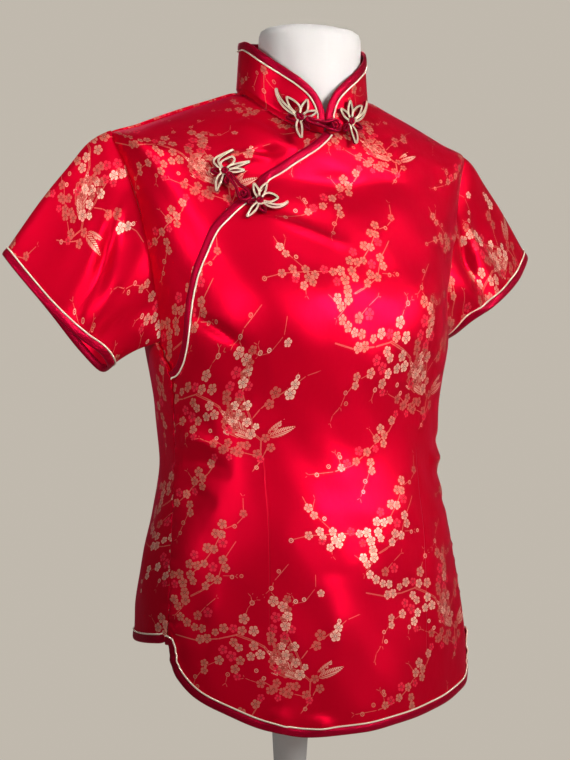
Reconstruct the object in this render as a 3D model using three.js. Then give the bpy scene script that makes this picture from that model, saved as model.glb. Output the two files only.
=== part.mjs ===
// A woman's short-sleeved mandarin-collar blouse of red blossom brocade on a limbless dress form.
// Units are millimetres, +Z is up, the wearer faces -Y and the wearer's left is +X.
// The origin is the centre of the underside of the stand's round base.
import * as THREE from 'three';

// ---- driving dimensions -------------------------------------------------------------------
const CLOTH = 1.6;            // thickness of a sewn panel
const GAP = 0.4;              // clearance between neighbouring pieces
const UNDER_DROP = 2.8;       // how far the under-lapping front lies below the outer face
const FORM_DROP = 7.5;        // how far the dress form lies below the garment's outer face
const NECK_LEVEL = 1400;      // level of the neckline on the body surface
const SHOULDER_LEVEL = 1330;  // level of the ring through both shoulder points
const ARMPIT_LEVEL = 1150;    // level of the underarm point
const LAP = 7;                // degrees the under front runs on beneath the opening edge
const COLLAR_HEIGHT = 46;     // height of the standing collar away from its rounded ends
const CUFF_TURN = 7;          // length of sleeve beyond the line of the cuff piping
const POLE_R = 14;            // radius of the stand's pole
const BASE_R = 150;           // radius of the stand's round base
const FORM_BOTTOM = 888;      // level of the dress form's flat underside

// Body surface: level, half width, front depth, back depth, centre in Y,
// then the height of that ring at the front, at the side and at the back.
const RINGS = [
  [740, 182, 128, 100, -19, 740, 740, 740],
  [800, 179, 128, 98, -19, 800, 800, 800],
  [860, 173, 126, 98, -19, 860, 860, 860],
  [882, 170, 125, 107, -19, 882, 882, 882],
  [900, 168, 124, 115, -19, 900, 900, 900],
  [950, 160, 122, 115, -20, 950, 950, 950],
  [985, 151.5, 119, 112, -20, 985, 985, 985],
  [1015, 145, 114, 112, -19, 1015, 1015, 1015],
  [1040, 141.5, 112, 115, -17, 1040, 1040, 1040],
  [1085, 145, 118, 126, -11, 1085, 1085, 1085],
  [1120, 150, 126, 129, -8, 1120, 1120, 1120],
  [1150, 155, 131, 128, -5, 1150, 1150, 1151],
  [1190, 160.5, 133, 126, 0, 1189, 1193, 1193],
  [1240, 171, 124, 119, 5, 1232, 1258, 1243],
  [1290, 184, 112, 108, 11, 1276, 1318, 1292],
  [1330, 193, 101, 92, 16, 1305, 1355, 1326],
  [1355, 165, 94, 80, 11, 1321, 1366, 1352],
  [1380, 120, 80, 68, 0, 1339, 1383, 1382],
  [1392, 88, 67, 60, -9, 1351, 1394, 1400],
  [1400, 68, 54, 56, -16, 1362, 1402, 1410],
];
const BUST = { angle: 33, spread: 22, level: 1172, below: 48, above: 55, out: 11, wide: 3 };

// Side seam, armhole and opening lines as [level, angle in degrees from the centre front].
const SIDE_SEAM = [[760, 66], [868, 67], [900, 69], [953, 74], [987, 78], [1040, 83], [1084, 80],
  [1110, 78], [1150, 84]];
const ARMHOLE_FRONT = [[1150, 84], [1180, 81], [1203, 80.5], [1239, 80.8], [1268, 82.5],
  [1297, 85], [1318, 88], [1330, 90]];
const ARMHOLE_BACK = [[1150, 84], [1162, 91], [1180, 97], [1203, 101], [1239, 104], [1268, 103],
  [1297, 99], [1318, 94], [1330, 90]];
const OPENING = [[1121, -78.2], [1127.4, -73.1], [1143.5, -68.5], [1160, -65.7], [1188, -62.6],
  [1210.5, -58], [1236, -50.8], [1256, -45], [1274, -38.1], [1290.7, -32.2], [1315.7, -24.7],
  [1344, -18.5], [1370, -13], [1390, -5], [1400, 0.8]];
// Lower edges as [angle, height].
const HEM_FRONT = [[-67, 864], [-66, 853], [-63, 838], [-60.5, 831], [-53, 815.5], [-41.7, 801.5],
  [-28, 787], [-15, 780.5], [2.4, 783.7], [14.6, 790], [29.4, 798.5], [47.7, 812], [58, 822],
  [63, 833], [66, 848], [67, 864]];
const HEM_BACK = [[67, 868], [72, 865], [85, 864], [110, 866], [150, 852], [180, 845],
  [210, 852], [250, 866], [275, 864], [288, 865], [293, 870]];

// Height of the collar against the distance from its front end.
const COLLAR_END = [[0, 14], [3, 24], [9.5, 34.5], [18, 40.5], [27, 44], [45, COLLAR_HEIGHT],
  [200, COLLAR_HEIGHT]];

// Closed line of the cuff piping: top, down the front, underarm, up the back.
const CUFF_RIGHT = [[-288, 38, 1240], [-275, 18, 1216], [-249, 2, 1182.5], [-220.5, -2, 1158],
  [-200, 0, 1145], [-187, 12, 1132], [-187, 34, 1129], [-202, 54, 1150], [-232, 66, 1190],
  [-270, 58, 1228]];
const CUFF_LEFT = [[287, 38, 1260], [271, 20, 1240], [247.6, 4, 1221], [220, -6, 1201.5],
  [196, -6, 1186], [184, 8, 1170], [183, 30, 1164], [196, 52, 1177], [228, 66, 1206], [268, 58, 1246]];

// ---- small tools --------------------------------------------------------------------------
const RAD = Math.PI / 180;
const add = (a, b, k = 1) => [a[0] + b[0] * k, a[1] + b[1] * k, a[2] + b[2] * k];
const sub = (a, b) => add(a, b, -1);
const mix = (a, b, t) => a.map((value, i) => value + (b[i] - value) * t);
const cross = (a, b) => [a[1] * b[2] - a[2] * b[1], a[2] * b[0] - a[0] * b[2],
  a[0] * b[1] - a[1] * b[0]];
const size = (a) => Math.hypot(a[0], a[1], a[2]);
const unit = (a) => { const s = size(a) || 1; return [a[0] / s, a[1] / s, a[2] / s]; };
const steps = (from, to, count) => Array.from({ length: count + 1 },
  (_, i) => from + (to - from) * i / count);

// Monotone cubic curve through the rows of a table; column 0 is the argument.
const curveCache = new Map();
function curve(rows, x, column = 1) {
  const key = column;
  let perTable = curveCache.get(rows);
  if (!perTable) { perTable = new Map(); curveCache.set(rows, perTable); }
  let slopes = perTable.get(key);
  const last = rows.length - 1;
  if (!slopes) {
    const width = [], rise = [];
    for (let i = 0; i < last; i++) {
      width.push(rows[i + 1][0] - rows[i][0]);
      rise.push((rows[i + 1][column] - rows[i][column]) / width[i]);
    }
    slopes = rows.map((_, i) => {
      if (i === 0) return rise[0];
      if (i === last) return rise[last - 1];
      if (rise[i - 1] * rise[i] <= 0) return 0;
      const a = 2 * width[i] + width[i - 1], b = width[i] + 2 * width[i - 1];
      return (a + b) / (a / rise[i - 1] + b / rise[i]);
    });
    perTable.set(key, slopes);
  }
  const at = Math.min(Math.max(x, rows[0][0]), rows[last][0]);
  let i = 0;
  while (i < last - 1 && at > rows[i + 1][0]) i++;
  const h = rows[i + 1][0] - rows[i][0], t = (at - rows[i][0]) / h;
  const t2 = t * t, t3 = t2 * t;
  return (2 * t3 - 3 * t2 + 1) * rows[i][column] + (t3 - 2 * t2 + t) * h * slopes[i]
    + (3 * t2 - 2 * t3) * rows[i + 1][column] + (t3 - t2) * h * slopes[i + 1];
}

// ---- body surface -------------------------------------------------------------------------
function bodyPoint(angle, level) {
  const [half, front, back, centre, zFront, zSide, zBack] = [1, 2, 3, 4, 5, 6, 7]
    .map((column) => curve(RINGS, level, column));
  const s = Math.sin(angle * RAD), c = Math.cos(angle * RAD);
  const depth = c > 0 ? front : back, zEnd = c > 0 ? zFront : zBack;
  const turned = Math.abs(((angle + 180) % 360 + 360) % 360 - 180);
  const away = level > BUST.level ? BUST.above : BUST.below;
  const full = turned < 100 ? Math.exp(-(((turned - BUST.angle) / BUST.spread) ** 2))
    * Math.exp(-(((level - BUST.level) / away) ** 2)) : 0;
  return [half * s + BUST.wide * full * Math.sign(s), centre - depth * c - BUST.out * full,
    zSide + (zEnd - zSide) * Math.abs(c) ** 1.6];
}

function bodyNormal(angle, level) {
  const across = sub(bodyPoint(angle + 0.3, level), bodyPoint(angle - 0.3, level));
  const up = sub(bodyPoint(angle, Math.min(level + 1, NECK_LEVEL)), bodyPoint(angle, level - 1));
  return unit(cross(across, up));
}

const onBody = (angle, level, out = 0) => add(bodyPoint(angle, level), bodyNormal(angle, level), out);

// ---- solids -------------------------------------------------------------------------------
function meshFrom(points, faces, name, color, roughness) {
  const geometry = new THREE.BufferGeometry();
  geometry.setAttribute('position', new THREE.Float32BufferAttribute(points.flat(), 3));
  geometry.setIndex(faces.flat());
  geometry.computeVertexNormals();
  const mesh = new THREE.Mesh(geometry, new THREE.MeshStandardMaterial({ color, roughness }));
  mesh.name = name;
  return mesh;
}

// The same solid with its faces turned to point outwards.
function facingOut({ points, faces }) {
  let volume = 0;
  for (const [a, b, c] of faces) {
    const m = cross(points[b], points[c]);
    volume += points[a][0] * m[0] + points[a][1] * m[1] + points[a][2] * m[2];
  }
  return { points, faces: volume < 0 ? faces.map(([a, b, c]) => [c, b, a]) : faces };
}

// Thick sheet from rows of outer and inner points; `ring` joins the last column to the first.
function sheet(outer, inner, ring = false) {
  const rows = outer.length, columns = outer[0].length, points = [...outer.flat(), ...inner.flat()];
  const out = (i, j) => i * columns + (j % columns), into = (i, j) => rows * columns + out(i, j);
  const faces = [], quad = (a, b, c, d) => {
    if (a !== b && b !== c) faces.push([a, b, c]);
    if (a !== c && c !== d && a !== d) faces.push([a, c, d]);
  };
  const spans = ring ? columns : columns - 1;
  for (let j = 0; j < spans; j++) {
    for (let i = 0; i < rows - 1; i++) {
      quad(out(i, j), out(i, j + 1), out(i + 1, j + 1), out(i + 1, j));
      quad(into(i, j), into(i + 1, j), into(i + 1, j + 1), into(i, j + 1));
    }
    quad(into(0, j), into(0, j + 1), out(0, j + 1), out(0, j));
    quad(out(rows - 1, j), out(rows - 1, j + 1), into(rows - 1, j + 1), into(rows - 1, j));
  }
  if (!ring) for (let i = 0; i < rows - 1; i++) {
    quad(out(i, 0), out(i + 1, 0), into(i + 1, 0), into(i, 0));
    quad(into(i, columns - 1), into(i + 1, columns - 1), out(i + 1, columns - 1), out(i, columns - 1));
  }
  return facingOut({ points, faces });
}

// Solid through a stack of closed rings with flat ends.
function stack(rings) {
  const n = rings[0].length, points = rings.flat(), faces = [];
  for (let i = 0; i < rings.length - 1; i++) for (let j = 0; j < n; j++) {
    const a = i * n + j, b = i * n + (j + 1) % n;
    faces.push([a, b, b + n], [a, b + n, a + n]);
  }
  const middle = (ring) => ring.reduce((sum, p) => add(sum, p, 1 / n), [0, 0, 0]);
  const low = points.push(middle(rings[0])) - 1, high = points.push(middle(rings.at(-1))) - 1;
  const top = (rings.length - 1) * n;
  for (let j = 0; j < n; j++) {
    const next = (j + 1) % n;
    faces.push([low, next, j], [high, top + j, top + next]);
  }
  return { points, faces };
}

// Bar of one section swept along a path; frames[i] = { at, side, out }.
function sweep(frames, section, closed = false) {
  const n = section.length, rings = frames.map(({ at, side, out }) =>
    section.map(([b, o]) => add(add(at, side, b), out, o)));
  const points = rings.flat(), faces = [], spans = closed ? rings.length : rings.length - 1;
  for (let i = 0; i < spans; i++) for (let j = 0; j < n; j++) {
    const next = (i + 1) % rings.length, k = (j + 1) % n;
    faces.push([i * n + j, i * n + k, next * n + k], [i * n + j, next * n + k, next * n + j]);
  }
  if (!closed) {
    const area = (ids) => ids.reduce((sum, id, i) => {
      const [p, q] = [section[id], section[ids[(i + 1) % ids.length]]];
      return sum + p[0] * q[1] - q[0] * p[1];
    }, 0);
    const order = Math.sign(area(section.map((_, i) => i))), end = (rings.length - 1) * n;
    const flat = section.map(([b, o]) => new THREE.Vector2(b, o));
    for (const tri of THREE.ShapeUtils.triangulateShape(flat, [])) {
      const [a, b, c] = Math.sign(area(tri)) === order ? tri : [...tri].reverse();
      faces.push([c, b, a], [end + a, end + b, end + c]);
    }
  }
  return facingOut({ points, faces });
}

// ---- panels -------------------------------------------------------------------------------
const SEAM = 0.22;  // half the seam clearance, in degrees, at each side of a panel

// Columns from left(level) to right(level); the lowest rows run up from the hem line.
function panel({ left, right, hem, hemTop, lowRows, levels, shares, drop = 0 }) {
  const outer = [], inner = [];
  const addRow = (level, heightAt) => {
    const a = left(level), b = right(level);
    const angles = shares.map((share) => a + (b - a) * share);
    outer.push(angles.map((angle) => onBody(angle, heightAt(angle), -drop)));
    inner.push(angles.map((angle) => onBody(angle, heightAt(angle), -drop - CLOTH)));
  };
  for (let k = 0; k < lowRows; k++) {
    addRow(hemTop, (angle) => { const low = curve(hem, angle); return low + (hemTop - low) * k / lowRows; });
  }
  for (const level of levels) addRow(level, () => level);
  return { outer, inner };
}

// Column places across the front, closer together at the rounded hem corners.
const EDGE_SHARES = [0, 0.012, 0.03, 0.055, 0.09, 0.14, 0.2, 0.26, 0.32, 0.38, 0.44];

const seamAngle = (level) => level <= ARMPIT_LEVEL ? curve(SIDE_SEAM, level)
  : level <= SHOULDER_LEVEL ? curve(ARMHOLE_FRONT, level) : 90;
const backAngle = (level) => level <= ARMPIT_LEVEL ? curve(SIDE_SEAM, level)
  : level <= SHOULDER_LEVEL ? curve(ARMHOLE_BACK, level) : 90;
const OPEN_END = OPENING[0][0];
const openingAngle = (level) => level < OPEN_END ? -seamAngle(level) : curve(OPENING, level);

const UPPER = [1121, 1124, 1128, 1135, 1143, 1150, 1165, 1187, 1209, 1234, 1252.5, 1269, 1285,
  1308, 1330, 1345, 1362, 1376, 1389, NECK_LEVEL - 1];
const LOWER = [900, 940, 975, 1005, 1030, 1055, 1082, 1100];

const frontMain = () => panel({
  left: (level) => openingAngle(level) + SEAM, right: (level) => seamAngle(level) - SEAM,
  hem: HEM_FRONT, hemTop: LOWER[0], lowRows: 4, levels: [...LOWER, ...UPPER],
  shares: [...EDGE_SHARES, 0.5, ...EDGE_SHARES.map((share) => 1 - share).reverse()] });

const frontUnder = () => panel({
  left: (level) => -seamAngle(level) + SEAM,
  right: (level) => Math.min(openingAngle(level) + LAP, 12),
  hem: [[-90, 1108], [90, 1108]], hemTop: OPEN_END, lowRows: 1, levels: UPPER, shares: steps(0, 1, 10),
  drop: UNDER_DROP });

const backPanel = () => panel({
  left: (level) => backAngle(level) + SEAM, right: (level) => 360 - backAngle(level) - SEAM,
  hem: HEM_BACK, hemTop: LOWER[0], lowRows: 2,
  levels: [...LOWER, 1118, 1134, 1150, 1157, 1165, 1180, 1203, 1239, 1268, 1297, 1318, 1330, 1345,
    1362, 1380, 1392, NECK_LEVEL - 1], shares: steps(0, 1, 24) });

// ---- sleeves ------------------------------------------------------------------------------
const SLEEVE_COLUMNS = 24, SLEEVE_ROWS = [0, 0.17, 0.34, 0.51, 0.68, 0.82, 0.94, 1];

// Evenly spaced points on a closed Catmull-Rom line, starting at its first point.
function evenLoop(points, count) {
  const line = new THREE.CatmullRomCurve3(points.map((p) => new THREE.Vector3(...p)), true, 'centripetal');
  line.arcLengthDivisions = 600;
  return Array.from({ length: count }, (_, i) => line.getPointAt(i / count).toArray());
}

function armholeLoop(side) {
  const front = [...ARMHOLE_FRONT].reverse(), back = ARMHOLE_BACK.slice(1, -1);
  return [...front.map(([level, angle]) => onBody(side * angle, level)),
    ...back.map(([level, angle]) => onBody(side * angle, level))];
}

function sleeve(side, cuff) {
  const root = evenLoop(armholeLoop(side), SLEEVE_COLUMNS), edge = evenLoop(cuff, SLEEVE_COLUMNS);
  const at = (i, t) => {
    const reach = sub(edge[i], root[i]), span = size(reach), along = unit(reach);
    const leave = unit(add([side * 0.34, 0, 0], along, 0.66));
    const arrive = unit(add([side * 0.18, 0, -0.36], along, 0.6));
    const end = add(edge[i], arrive, CUFF_TURN);
    const a = add(add(root[i], leave, GAP + 0.4), [side, 0, 0], GAP + 0.2), b = add(a, leave, span / 3), c = add(end, arrive, -span / 3);
    const k = 1 - t;
    return [0, 1, 2].map((m) => k * k * k * a[m] + 3 * k * k * t * b[m] + 3 * k * t * t * c[m] + t * t * t * end[m]);
  };
  const outer = [], inner = [];
  for (const t of SLEEVE_ROWS) {
    const row = [], back = [];
    for (let i = 0; i < SLEEVE_COLUMNS; i++) {
      const n = SLEEVE_COLUMNS, before = (i + n - 1) % n, after = (i + 1) % n;
      const across = sub(at(after, t), at(before, t));
      const down = sub(at(i, Math.min(t + 0.02, 1)), at(i, Math.max(t - 0.02, 0)));
      const normal = unit(cross(across, down));
      row.push(at(i, t)); back.push(add(at(i, t), normal, side * CLOTH));
    }
    outer.push(row); inner.push(back);
  }
  return { outer, inner };
}

// ---- collar -------------------------------------------------------------------------------
const COLLAR_START = 1.2;  // angle of each front end from the centre front

function collarPoint(angle, height) {
  const base = bodyPoint(angle, NECK_LEVEL), t = height / COLLAR_HEIGHT;
  return [base[0] * (1 - 0.05 * t), -15.6 + (base[1] + 16) * (1 - 0.06 * t) + 0.6 * t,
    base[2] + GAP + height];
}
const collarAngles = [COLLAR_START, 4, 8, 13, 20, 28, 37, 46, 56, 68, 80, 100, 120, 140, 160, 180,
  200, 220, 240, 260, 280, 292, 304, 314, 323, 332, 340, 347, 352, 356, 360 - COLLAR_START];
function collarHeight(angle) {
  const turned = angle > 180 ? 360 - angle : angle;
  return curve(COLLAR_END, (turned - COLLAR_START) * RAD * 60);
}
function collarNormal(angle, height) {
  return unit(cross(sub(collarPoint(angle + 1, height), collarPoint(angle - 1, height)),
    sub(collarPoint(angle, height + 1), collarPoint(angle, height - 1))));
}
function collar() {
  const outer = [], inner = [];
  for (const share of [0, 0.3, 0.58, 0.82, 1]) {
    outer.push(collarAngles.map((angle) => collarPoint(angle, collarHeight(angle) * share)));
    inner.push(collarAngles.map((angle) => {
      const h = collarHeight(angle) * share;
      return add(collarPoint(angle, h), collarNormal(angle, h), -CLOTH);
    }));
  }
  return { outer, inner };
}

// ---- bindings and piping ------------------------------------------------------------------
// Sections are [distance past the edge, distance out from the face].
const FOLDED = [[-7, 0.4], [-7, 1.2], [1.2, 1.2], [1.2, -1.6], [0.4, -1.6], [0.4, 0.4]];
const LAID = [[-7, 0.4], [-7, 1.2], [0.6, 1.2], [0.6, 0.4]];
const CORD_OFF = -8.5, CORD_R = 0.9;
const CORD = [45, 135, 225, 315].map((a) => [CORD_OFF + CORD_R * Math.cos(a * RAD),
  0.3 + CORD_R + CORD_R * Math.sin(a * RAD)]);

// Frames along an edge of a grid: `side` runs on past the edge from the neighbouring line of
// points, `out` leads away from the face. Where the edge slants across the grid by more than
// `slant` the side is squared to the edge.
const dot = (a, b) => a[0] * b[0] + a[1] * b[1] + a[2] * b[2];
const less = (a, b) => add(a, b, -dot(a, b));
function edgeFrames(outer, inner, neighbour, { closed = false, slant = 0.9 } = {}) {
  const n = outer.length;
  const near = (i) => closed ? outer[(i + n) % n] : outer[Math.min(Math.max(i, 0), n - 1)];
  return outer.map((at, i) => {
    const along = unit(sub(near(i + 1), near(i - 1)));
    const past = unit(sub(at, neighbour[i]));
    const side = Math.abs(dot(past, along)) > slant ? unit(less(past, along)) : past;
    const face = unit(cross(along, side)), sign = Math.sign(dot(face, sub(at, inner[i])));
    return { at, side, out: face.map((v) => v * sign) };
  });
}
const column = (rows, j) => rows.map((row) => row.at(j));

// The slanting opening ends just short of the collar.
function openingEdge({ outer, inner }) {
  const from = outer.length - UPPER.length;
  const cut = (rows, j) => {
    const line = column(rows.slice(from), j);
    return [...line.slice(0, -1), mix(line.at(-2), line.at(-1), 0.5)];
  };
  return edgeFrames(cut(outer, 0), cut(inner, 0), cut(outer, 1));
}

const hemEdge = ({ outer, inner }) => edgeFrames(outer[0], inner[0], outer[1]);
// Taken backwards, so that the binding's facets are split along the same diagonals as the sleeve's.
const cuffEdge = ({ outer, inner }) => edgeFrames(outer.at(-1), inner.at(-1), outer.at(-2),
  { closed: true }).reverse();

// Up one rounded front end, round the top and down the other end.
function collarEdge({ outer, inner }) {
  const line = (rows, topRow, left, right) => {
    const first = column(rows, left), last = column(rows, right), foot = (side) => mix(side[0], side[1], 0.5);
    return [foot(first), ...first.slice(1, -1), ...rows.at(topRow), ...last.slice(1, -1).reverse(), foot(last)];
  };
  return edgeFrames(line(outer, -1, 0, -1), line(inner, -1, 0, -1), line(outer, -2, 1, -2), { slant: 0.45 });
}

// Frames whose cord points still run on by a real step, so that the cord never folds back on
// itself inside a tight bend of the edge.
const CORD_STEP = 0.9;
function spaced(frames) {
  const cordAt = ({ at, side }) => add(at, side, CORD_OFF), kept = [frames[0]];
  for (const frame of frames.slice(1, -1)) {
    const last = kept.at(-1), step = sub(cordAt(frame), cordAt(last)), left = sub(cordAt(frames.at(-1)), cordAt(frame));
    if (size(step) > CORD_STEP && size(left) > CORD_STEP && dot(step, sub(frame.at, last.at)) > 0) kept.push(frame);
  }
  return [...kept, frames.at(-1)];
}

// ---- frog fastenings ----------------------------------------------------------------------
// Each half is one cord laid in open petals: [direction, length, width, bend] in degrees and mm,
// the directions counted from the one that points at the knot.
const FROG_PETALS = [[52, 17, 7, 0], [92, 18, 8, 0], [148, 19, 11, 14], [186, 27, 5.5, -16],
  [236, 15, 6, 0], [280, 23, 6, 8], [322, 12.5, 6, 0]];
const FROG_ROOT = 4.2, FROG_CORD = [[-0.6, 0.4], [0.6, 0.4], [0.6, 3.4], [-0.6, 3.4]];
const PETAL_STEPS = [0.06, 0.4, 0.76, 1];

function frogOutline(mirror) {
  const path = [];
  for (const [direction, length, width, bend] of FROG_PETALS) {
    const point = (t, across) => {
      const r = FROG_ROOT + (length - FROG_ROOT) * t, a = (direction + bend * t * t) * RAD;
      return [mirror * (r * Math.cos(a) - across * Math.sin(a)), r * Math.sin(a) + across * Math.cos(a)];
    };
    const half = (t) => Math.max(width / 2 * Math.sin(Math.PI * Math.min(t, 0.98) ** 0.8) ** 0.7, 0.8);
    for (const t of PETAL_STEPS.slice(0, -1)) path.push(point(t, -half(t)));
    path.push(point(1, -0.8), point(1, 0.8));
    for (const t of PETAL_STEPS.slice(0, -1).reverse()) path.push(point(t, half(t)));
  }
  return path;
}

// Loop that reaches from the root of a half round the knot at local distances x and y.
const LOOP_HALF = 5.4, LOOP_RISE = 3.7;
function loopOutline(x, y) {
  const way = Math.atan2(y, x), reach = Math.hypot(x, y);
  const ring = steps(-90, 90, 6).map((a) => [reach + LOOP_HALF * Math.cos(a * RAD), LOOP_HALF * Math.sin(a * RAD)]);
  return [...ring, [reach - 6, 4.6], [6, 1.5], [6, -1.5], [reach - 6, -4.6]].map(([along, across]) =>
    [along * Math.cos(way) - across * Math.sin(way), along * Math.sin(way) + across * Math.cos(way)]);
}

// A face gives the point and outward normal at local distances x and y; `turn` tilts its x axis.
function bodyFace(angle, level, turn) {
  const at = bodyPoint(angle, level), normal = bodyNormal(angle, level);
  const level_ = unit(cross([0, 0, 1], normal)), up = cross(normal, level_);
  const c = Math.cos(turn * RAD), s = Math.sin(turn * RAD);
  const u = add(level_.map((v) => v * c), up, s), v = add(up.map((w) => w * c), level_, -s);
  const da = sub(bodyPoint(angle + 1, level), at), dl = sub(at, bodyPoint(angle, level - 1));
  const det = dot(da, u) * dot(dl, v) - dot(dl, u) * dot(da, v);
  return (x, y) => {
    const a = angle + (x * dot(dl, v) - y * dot(dl, u)) / det;
    const l = level + (y * dot(da, u) - x * dot(da, v)) / det;
    return { at: bodyPoint(a, l), out: bodyNormal(a, l) };
  };
}

// On the collar the lower petals hang clear of the slope of the chest below the neck seam.
function collarFace(angle, height, turn) {
  const c = Math.cos(turn * RAD), s = Math.sin(turn * RAD), bend = 1 / (60 * RAD);
  return (x, y) => {
    const a = angle + (x * c - y * s) * bend, h = height + y * c + x * s, below = Math.min(h, 0);
    const out = collarNormal(a, 1), flat = unit([out[0], out[1], 0]);
    return { at: add(add(collarPoint(a, Math.max(h, 0)), [0, 0, below]), flat, -0.85 * below), out: flat };
  };
}

// The cord follows the face below it, `rest` above it.
function cordOn(face, outline, rest) {
  const line = outline.map(([x, y]) => face(x, y)), n = line.length;
  return sweep(line.map(({ at, out }, i) => {
    const tangent = unit(sub(line[(i + 1) % n].at, line[(i + n - 1) % n].at));
    return { at: add(at, out, rest), side: unit(cross(tangent, out)), out };
  }), FROG_CORD, true);
}

const KNOT_R = 4;
function ball(center, radius, name, color) {
  const geometry = new THREE.SphereGeometry(radius, 12, 8);
  geometry.rotateX(Math.PI / 2);
  geometry.translate(...center);
  const mesh = new THREE.Mesh(geometry, new THREE.MeshStandardMaterial({ color, roughness: 0.5 }));
  mesh.name = name;
  return mesh;
}

// ---- dress form and stand -----------------------------------------------------------------
function formSolid() {
  const angles = steps(0, 360, 40).slice(0, -1), rings = [];
  const body = [FORM_BOTTOM, 904, 935, 970, 1005, 1040, 1080, 1115, 1145, 1172, 1200, 1232, 1265,
    1297, 1320, 1334, 1350, 1368, 1382, 1391];
  for (const level of body) rings.push(angles.map((angle) => onBody(angle, level, -FORM_DROP)));
  // Neck: half width, half depth, centre X, centre Y, rise above the neckline's own slope, level share.
  const NECK = [[57, 47, 4, -15, 2, 1], [54.5, 44, 6, -15, 12, 0.8], [53, 42.5, 7.5, -15, 26, 0.45],
    [53, 42, 8, -15, 44, 0.15], [52.5, 41.5, 8, -15, 57, 0], [49, 38, 8, -15, 62, 0],
    [22, 17, 6, -15, 68, 0]];
  const NECK_MID = 1402;
  for (const [a, b, x, y, rise, slope] of NECK) {
    rings.push(angles.map((angle) => {
      const own = bodyPoint(angle, NECK_LEVEL)[2];
      return [x + a * Math.sin(angle * RAD), y - b * Math.cos(angle * RAD),
        NECK_MID + (own - NECK_MID) * slope + rise];
    }));
  }
  return stack(rings);
}

function standMesh() {
  const profile = [[0, 0], [BASE_R - 1.5, 0], [BASE_R, 2], [BASE_R, 7], [BASE_R - 4, 10], [26, 13],
    [20, 18], [POLE_R, 30], [POLE_R, 690], [16, 735], [18.6, 780], [21, FORM_BOTTOM - 8],
    [30, FORM_BOTTOM - 5], [30, FORM_BOTTOM - 0.3], [0, FORM_BOTTOM - 0.3]];
  const geometry = new THREE.LatheGeometry(profile.map(([r, z]) => new THREE.Vector2(r, z)), 28);
  geometry.rotateX(Math.PI / 2);
  const mesh = new THREE.Mesh(geometry, new THREE.MeshStandardMaterial({ color: '#d9d6cf', roughness: 0.5 }));
  mesh.name = 'stand';
  return mesh;
}

// ---- assembly -----------------------------------------------------------------------------
const SATIN = '#b90a1e', TRIM = '#8f0d26', CREAM = '#f0dcc0', COVER = '#e4e0da';
const group = new THREE.Group();
group.name = 'brocade_blouse_on_form';
const put = ({ points, faces }, name, color, roughness = 0.45) =>
  group.add(meshFrom(points, faces, name, color, roughness));

put(formSolid(), 'dress_form', COVER, 0.8);
group.add(standMesh());
const front = frontMain(), back = backPanel(), stand = collar();
for (const [grid, name] of [[front, 'front_main'], [frontUnder(), 'front_under'], [back, 'back'],
  [stand, 'collar']]) put(sheet(grid.outer, grid.inner), name, SATIN);

for (const [side, cuff, word] of [[-1, CUFF_RIGHT, 'right'], [1, CUFF_LEFT, 'left']]) {
  const grid = sleeve(side, cuff);
  put(sheet(grid.outer, grid.inner, true), `sleeve_${word}`, SATIN);
  put(sweep(cuffEdge(grid), FOLDED, true), `binding_cuff_${word}`, TRIM);
  put(sweep(cuffEdge(grid), CORD, true), `piping_cuff_${word}`, CREAM, 0.6);
}
for (const [frames, section, word] of [[openingEdge(front), LAID, 'opening'],
  [hemEdge(front), FOLDED, 'hem_front'], [hemEdge(back), FOLDED, 'hem_back'],
  [collarEdge(stand), FOLDED, 'collar']]) {
  put(sweep(frames, section), `binding_${word}`, TRIM);
  put(sweep(spaced(frames), CORD), `piping_${word}`, CREAM, 0.6);
}

// Fastenings: one pair on the collar's front ends, one pair across the slanting opening.
const HALVES = [
  ['collar_right', collarFace(-23, 4, -22), 1, 2.1], ['collar_left', collarFace(23, 3, 4), -1, 2.1],
  ['opening_upper', bodyFace(-34, 1323, -52), 1, 0.6], ['opening_lower', bodyFace(-25.5, 1293, -19), -1, 2.3]];
for (const [name, face, mirror, rest] of HALVES) {
  put(cordOn(face, frogOutline(mirror), rest), `frog_${name}`, TRIM);
}
// Each loop lies over the petals of the half it grows from. Listed: that half's face, the knot's
// place on it and the knot's height above it.
for (const [word, face, x, y, rest] of [['collar', HALVES[0][1], 27.7, 8.6, 2.1],
  ['opening', HALVES[2][1], 27.5, -3, 2.3]]) {
  put(cordOn(face, loopOutline(x, y), rest + LOOP_RISE), `loop_${word}`, TRIM);
  const { at, out } = face(x, y);
  group.add(ball(add(at, out, KNOT_R + rest), KNOT_R, `knot_${word}`, TRIM));
}

export default group;
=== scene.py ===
"""A short-sleeved mandarin-collar blouse of red blossom brocade on a limbless dress form.

The cloth is worked out from one body surface, which is a table of rings, so every panel, seam and
trim follows the same curves as the solids of the part.  Lengths in the classes are millimetres and
angles are degrees from the centre front, positive to the wearer's left; meshes are in metres.
"""
import logging
import math
from collections.abc import Callable
from dataclasses import dataclass, field
from enum import Enum, IntEnum

import bpy
import numpy as np
from mathutils import Matrix, Vector


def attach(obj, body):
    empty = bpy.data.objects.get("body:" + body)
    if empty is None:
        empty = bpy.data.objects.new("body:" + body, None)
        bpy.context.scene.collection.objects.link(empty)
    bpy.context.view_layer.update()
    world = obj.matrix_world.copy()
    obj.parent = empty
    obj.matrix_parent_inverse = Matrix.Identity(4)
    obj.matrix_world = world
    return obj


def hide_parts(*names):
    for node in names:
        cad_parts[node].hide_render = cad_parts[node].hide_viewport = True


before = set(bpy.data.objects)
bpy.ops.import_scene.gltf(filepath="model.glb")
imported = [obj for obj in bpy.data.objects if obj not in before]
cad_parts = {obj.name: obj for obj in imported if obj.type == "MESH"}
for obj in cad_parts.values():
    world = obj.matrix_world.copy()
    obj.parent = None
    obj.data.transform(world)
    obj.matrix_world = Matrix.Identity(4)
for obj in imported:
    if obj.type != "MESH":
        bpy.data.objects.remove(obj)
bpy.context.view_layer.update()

LOG = logging.getLogger("blouse")
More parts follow.
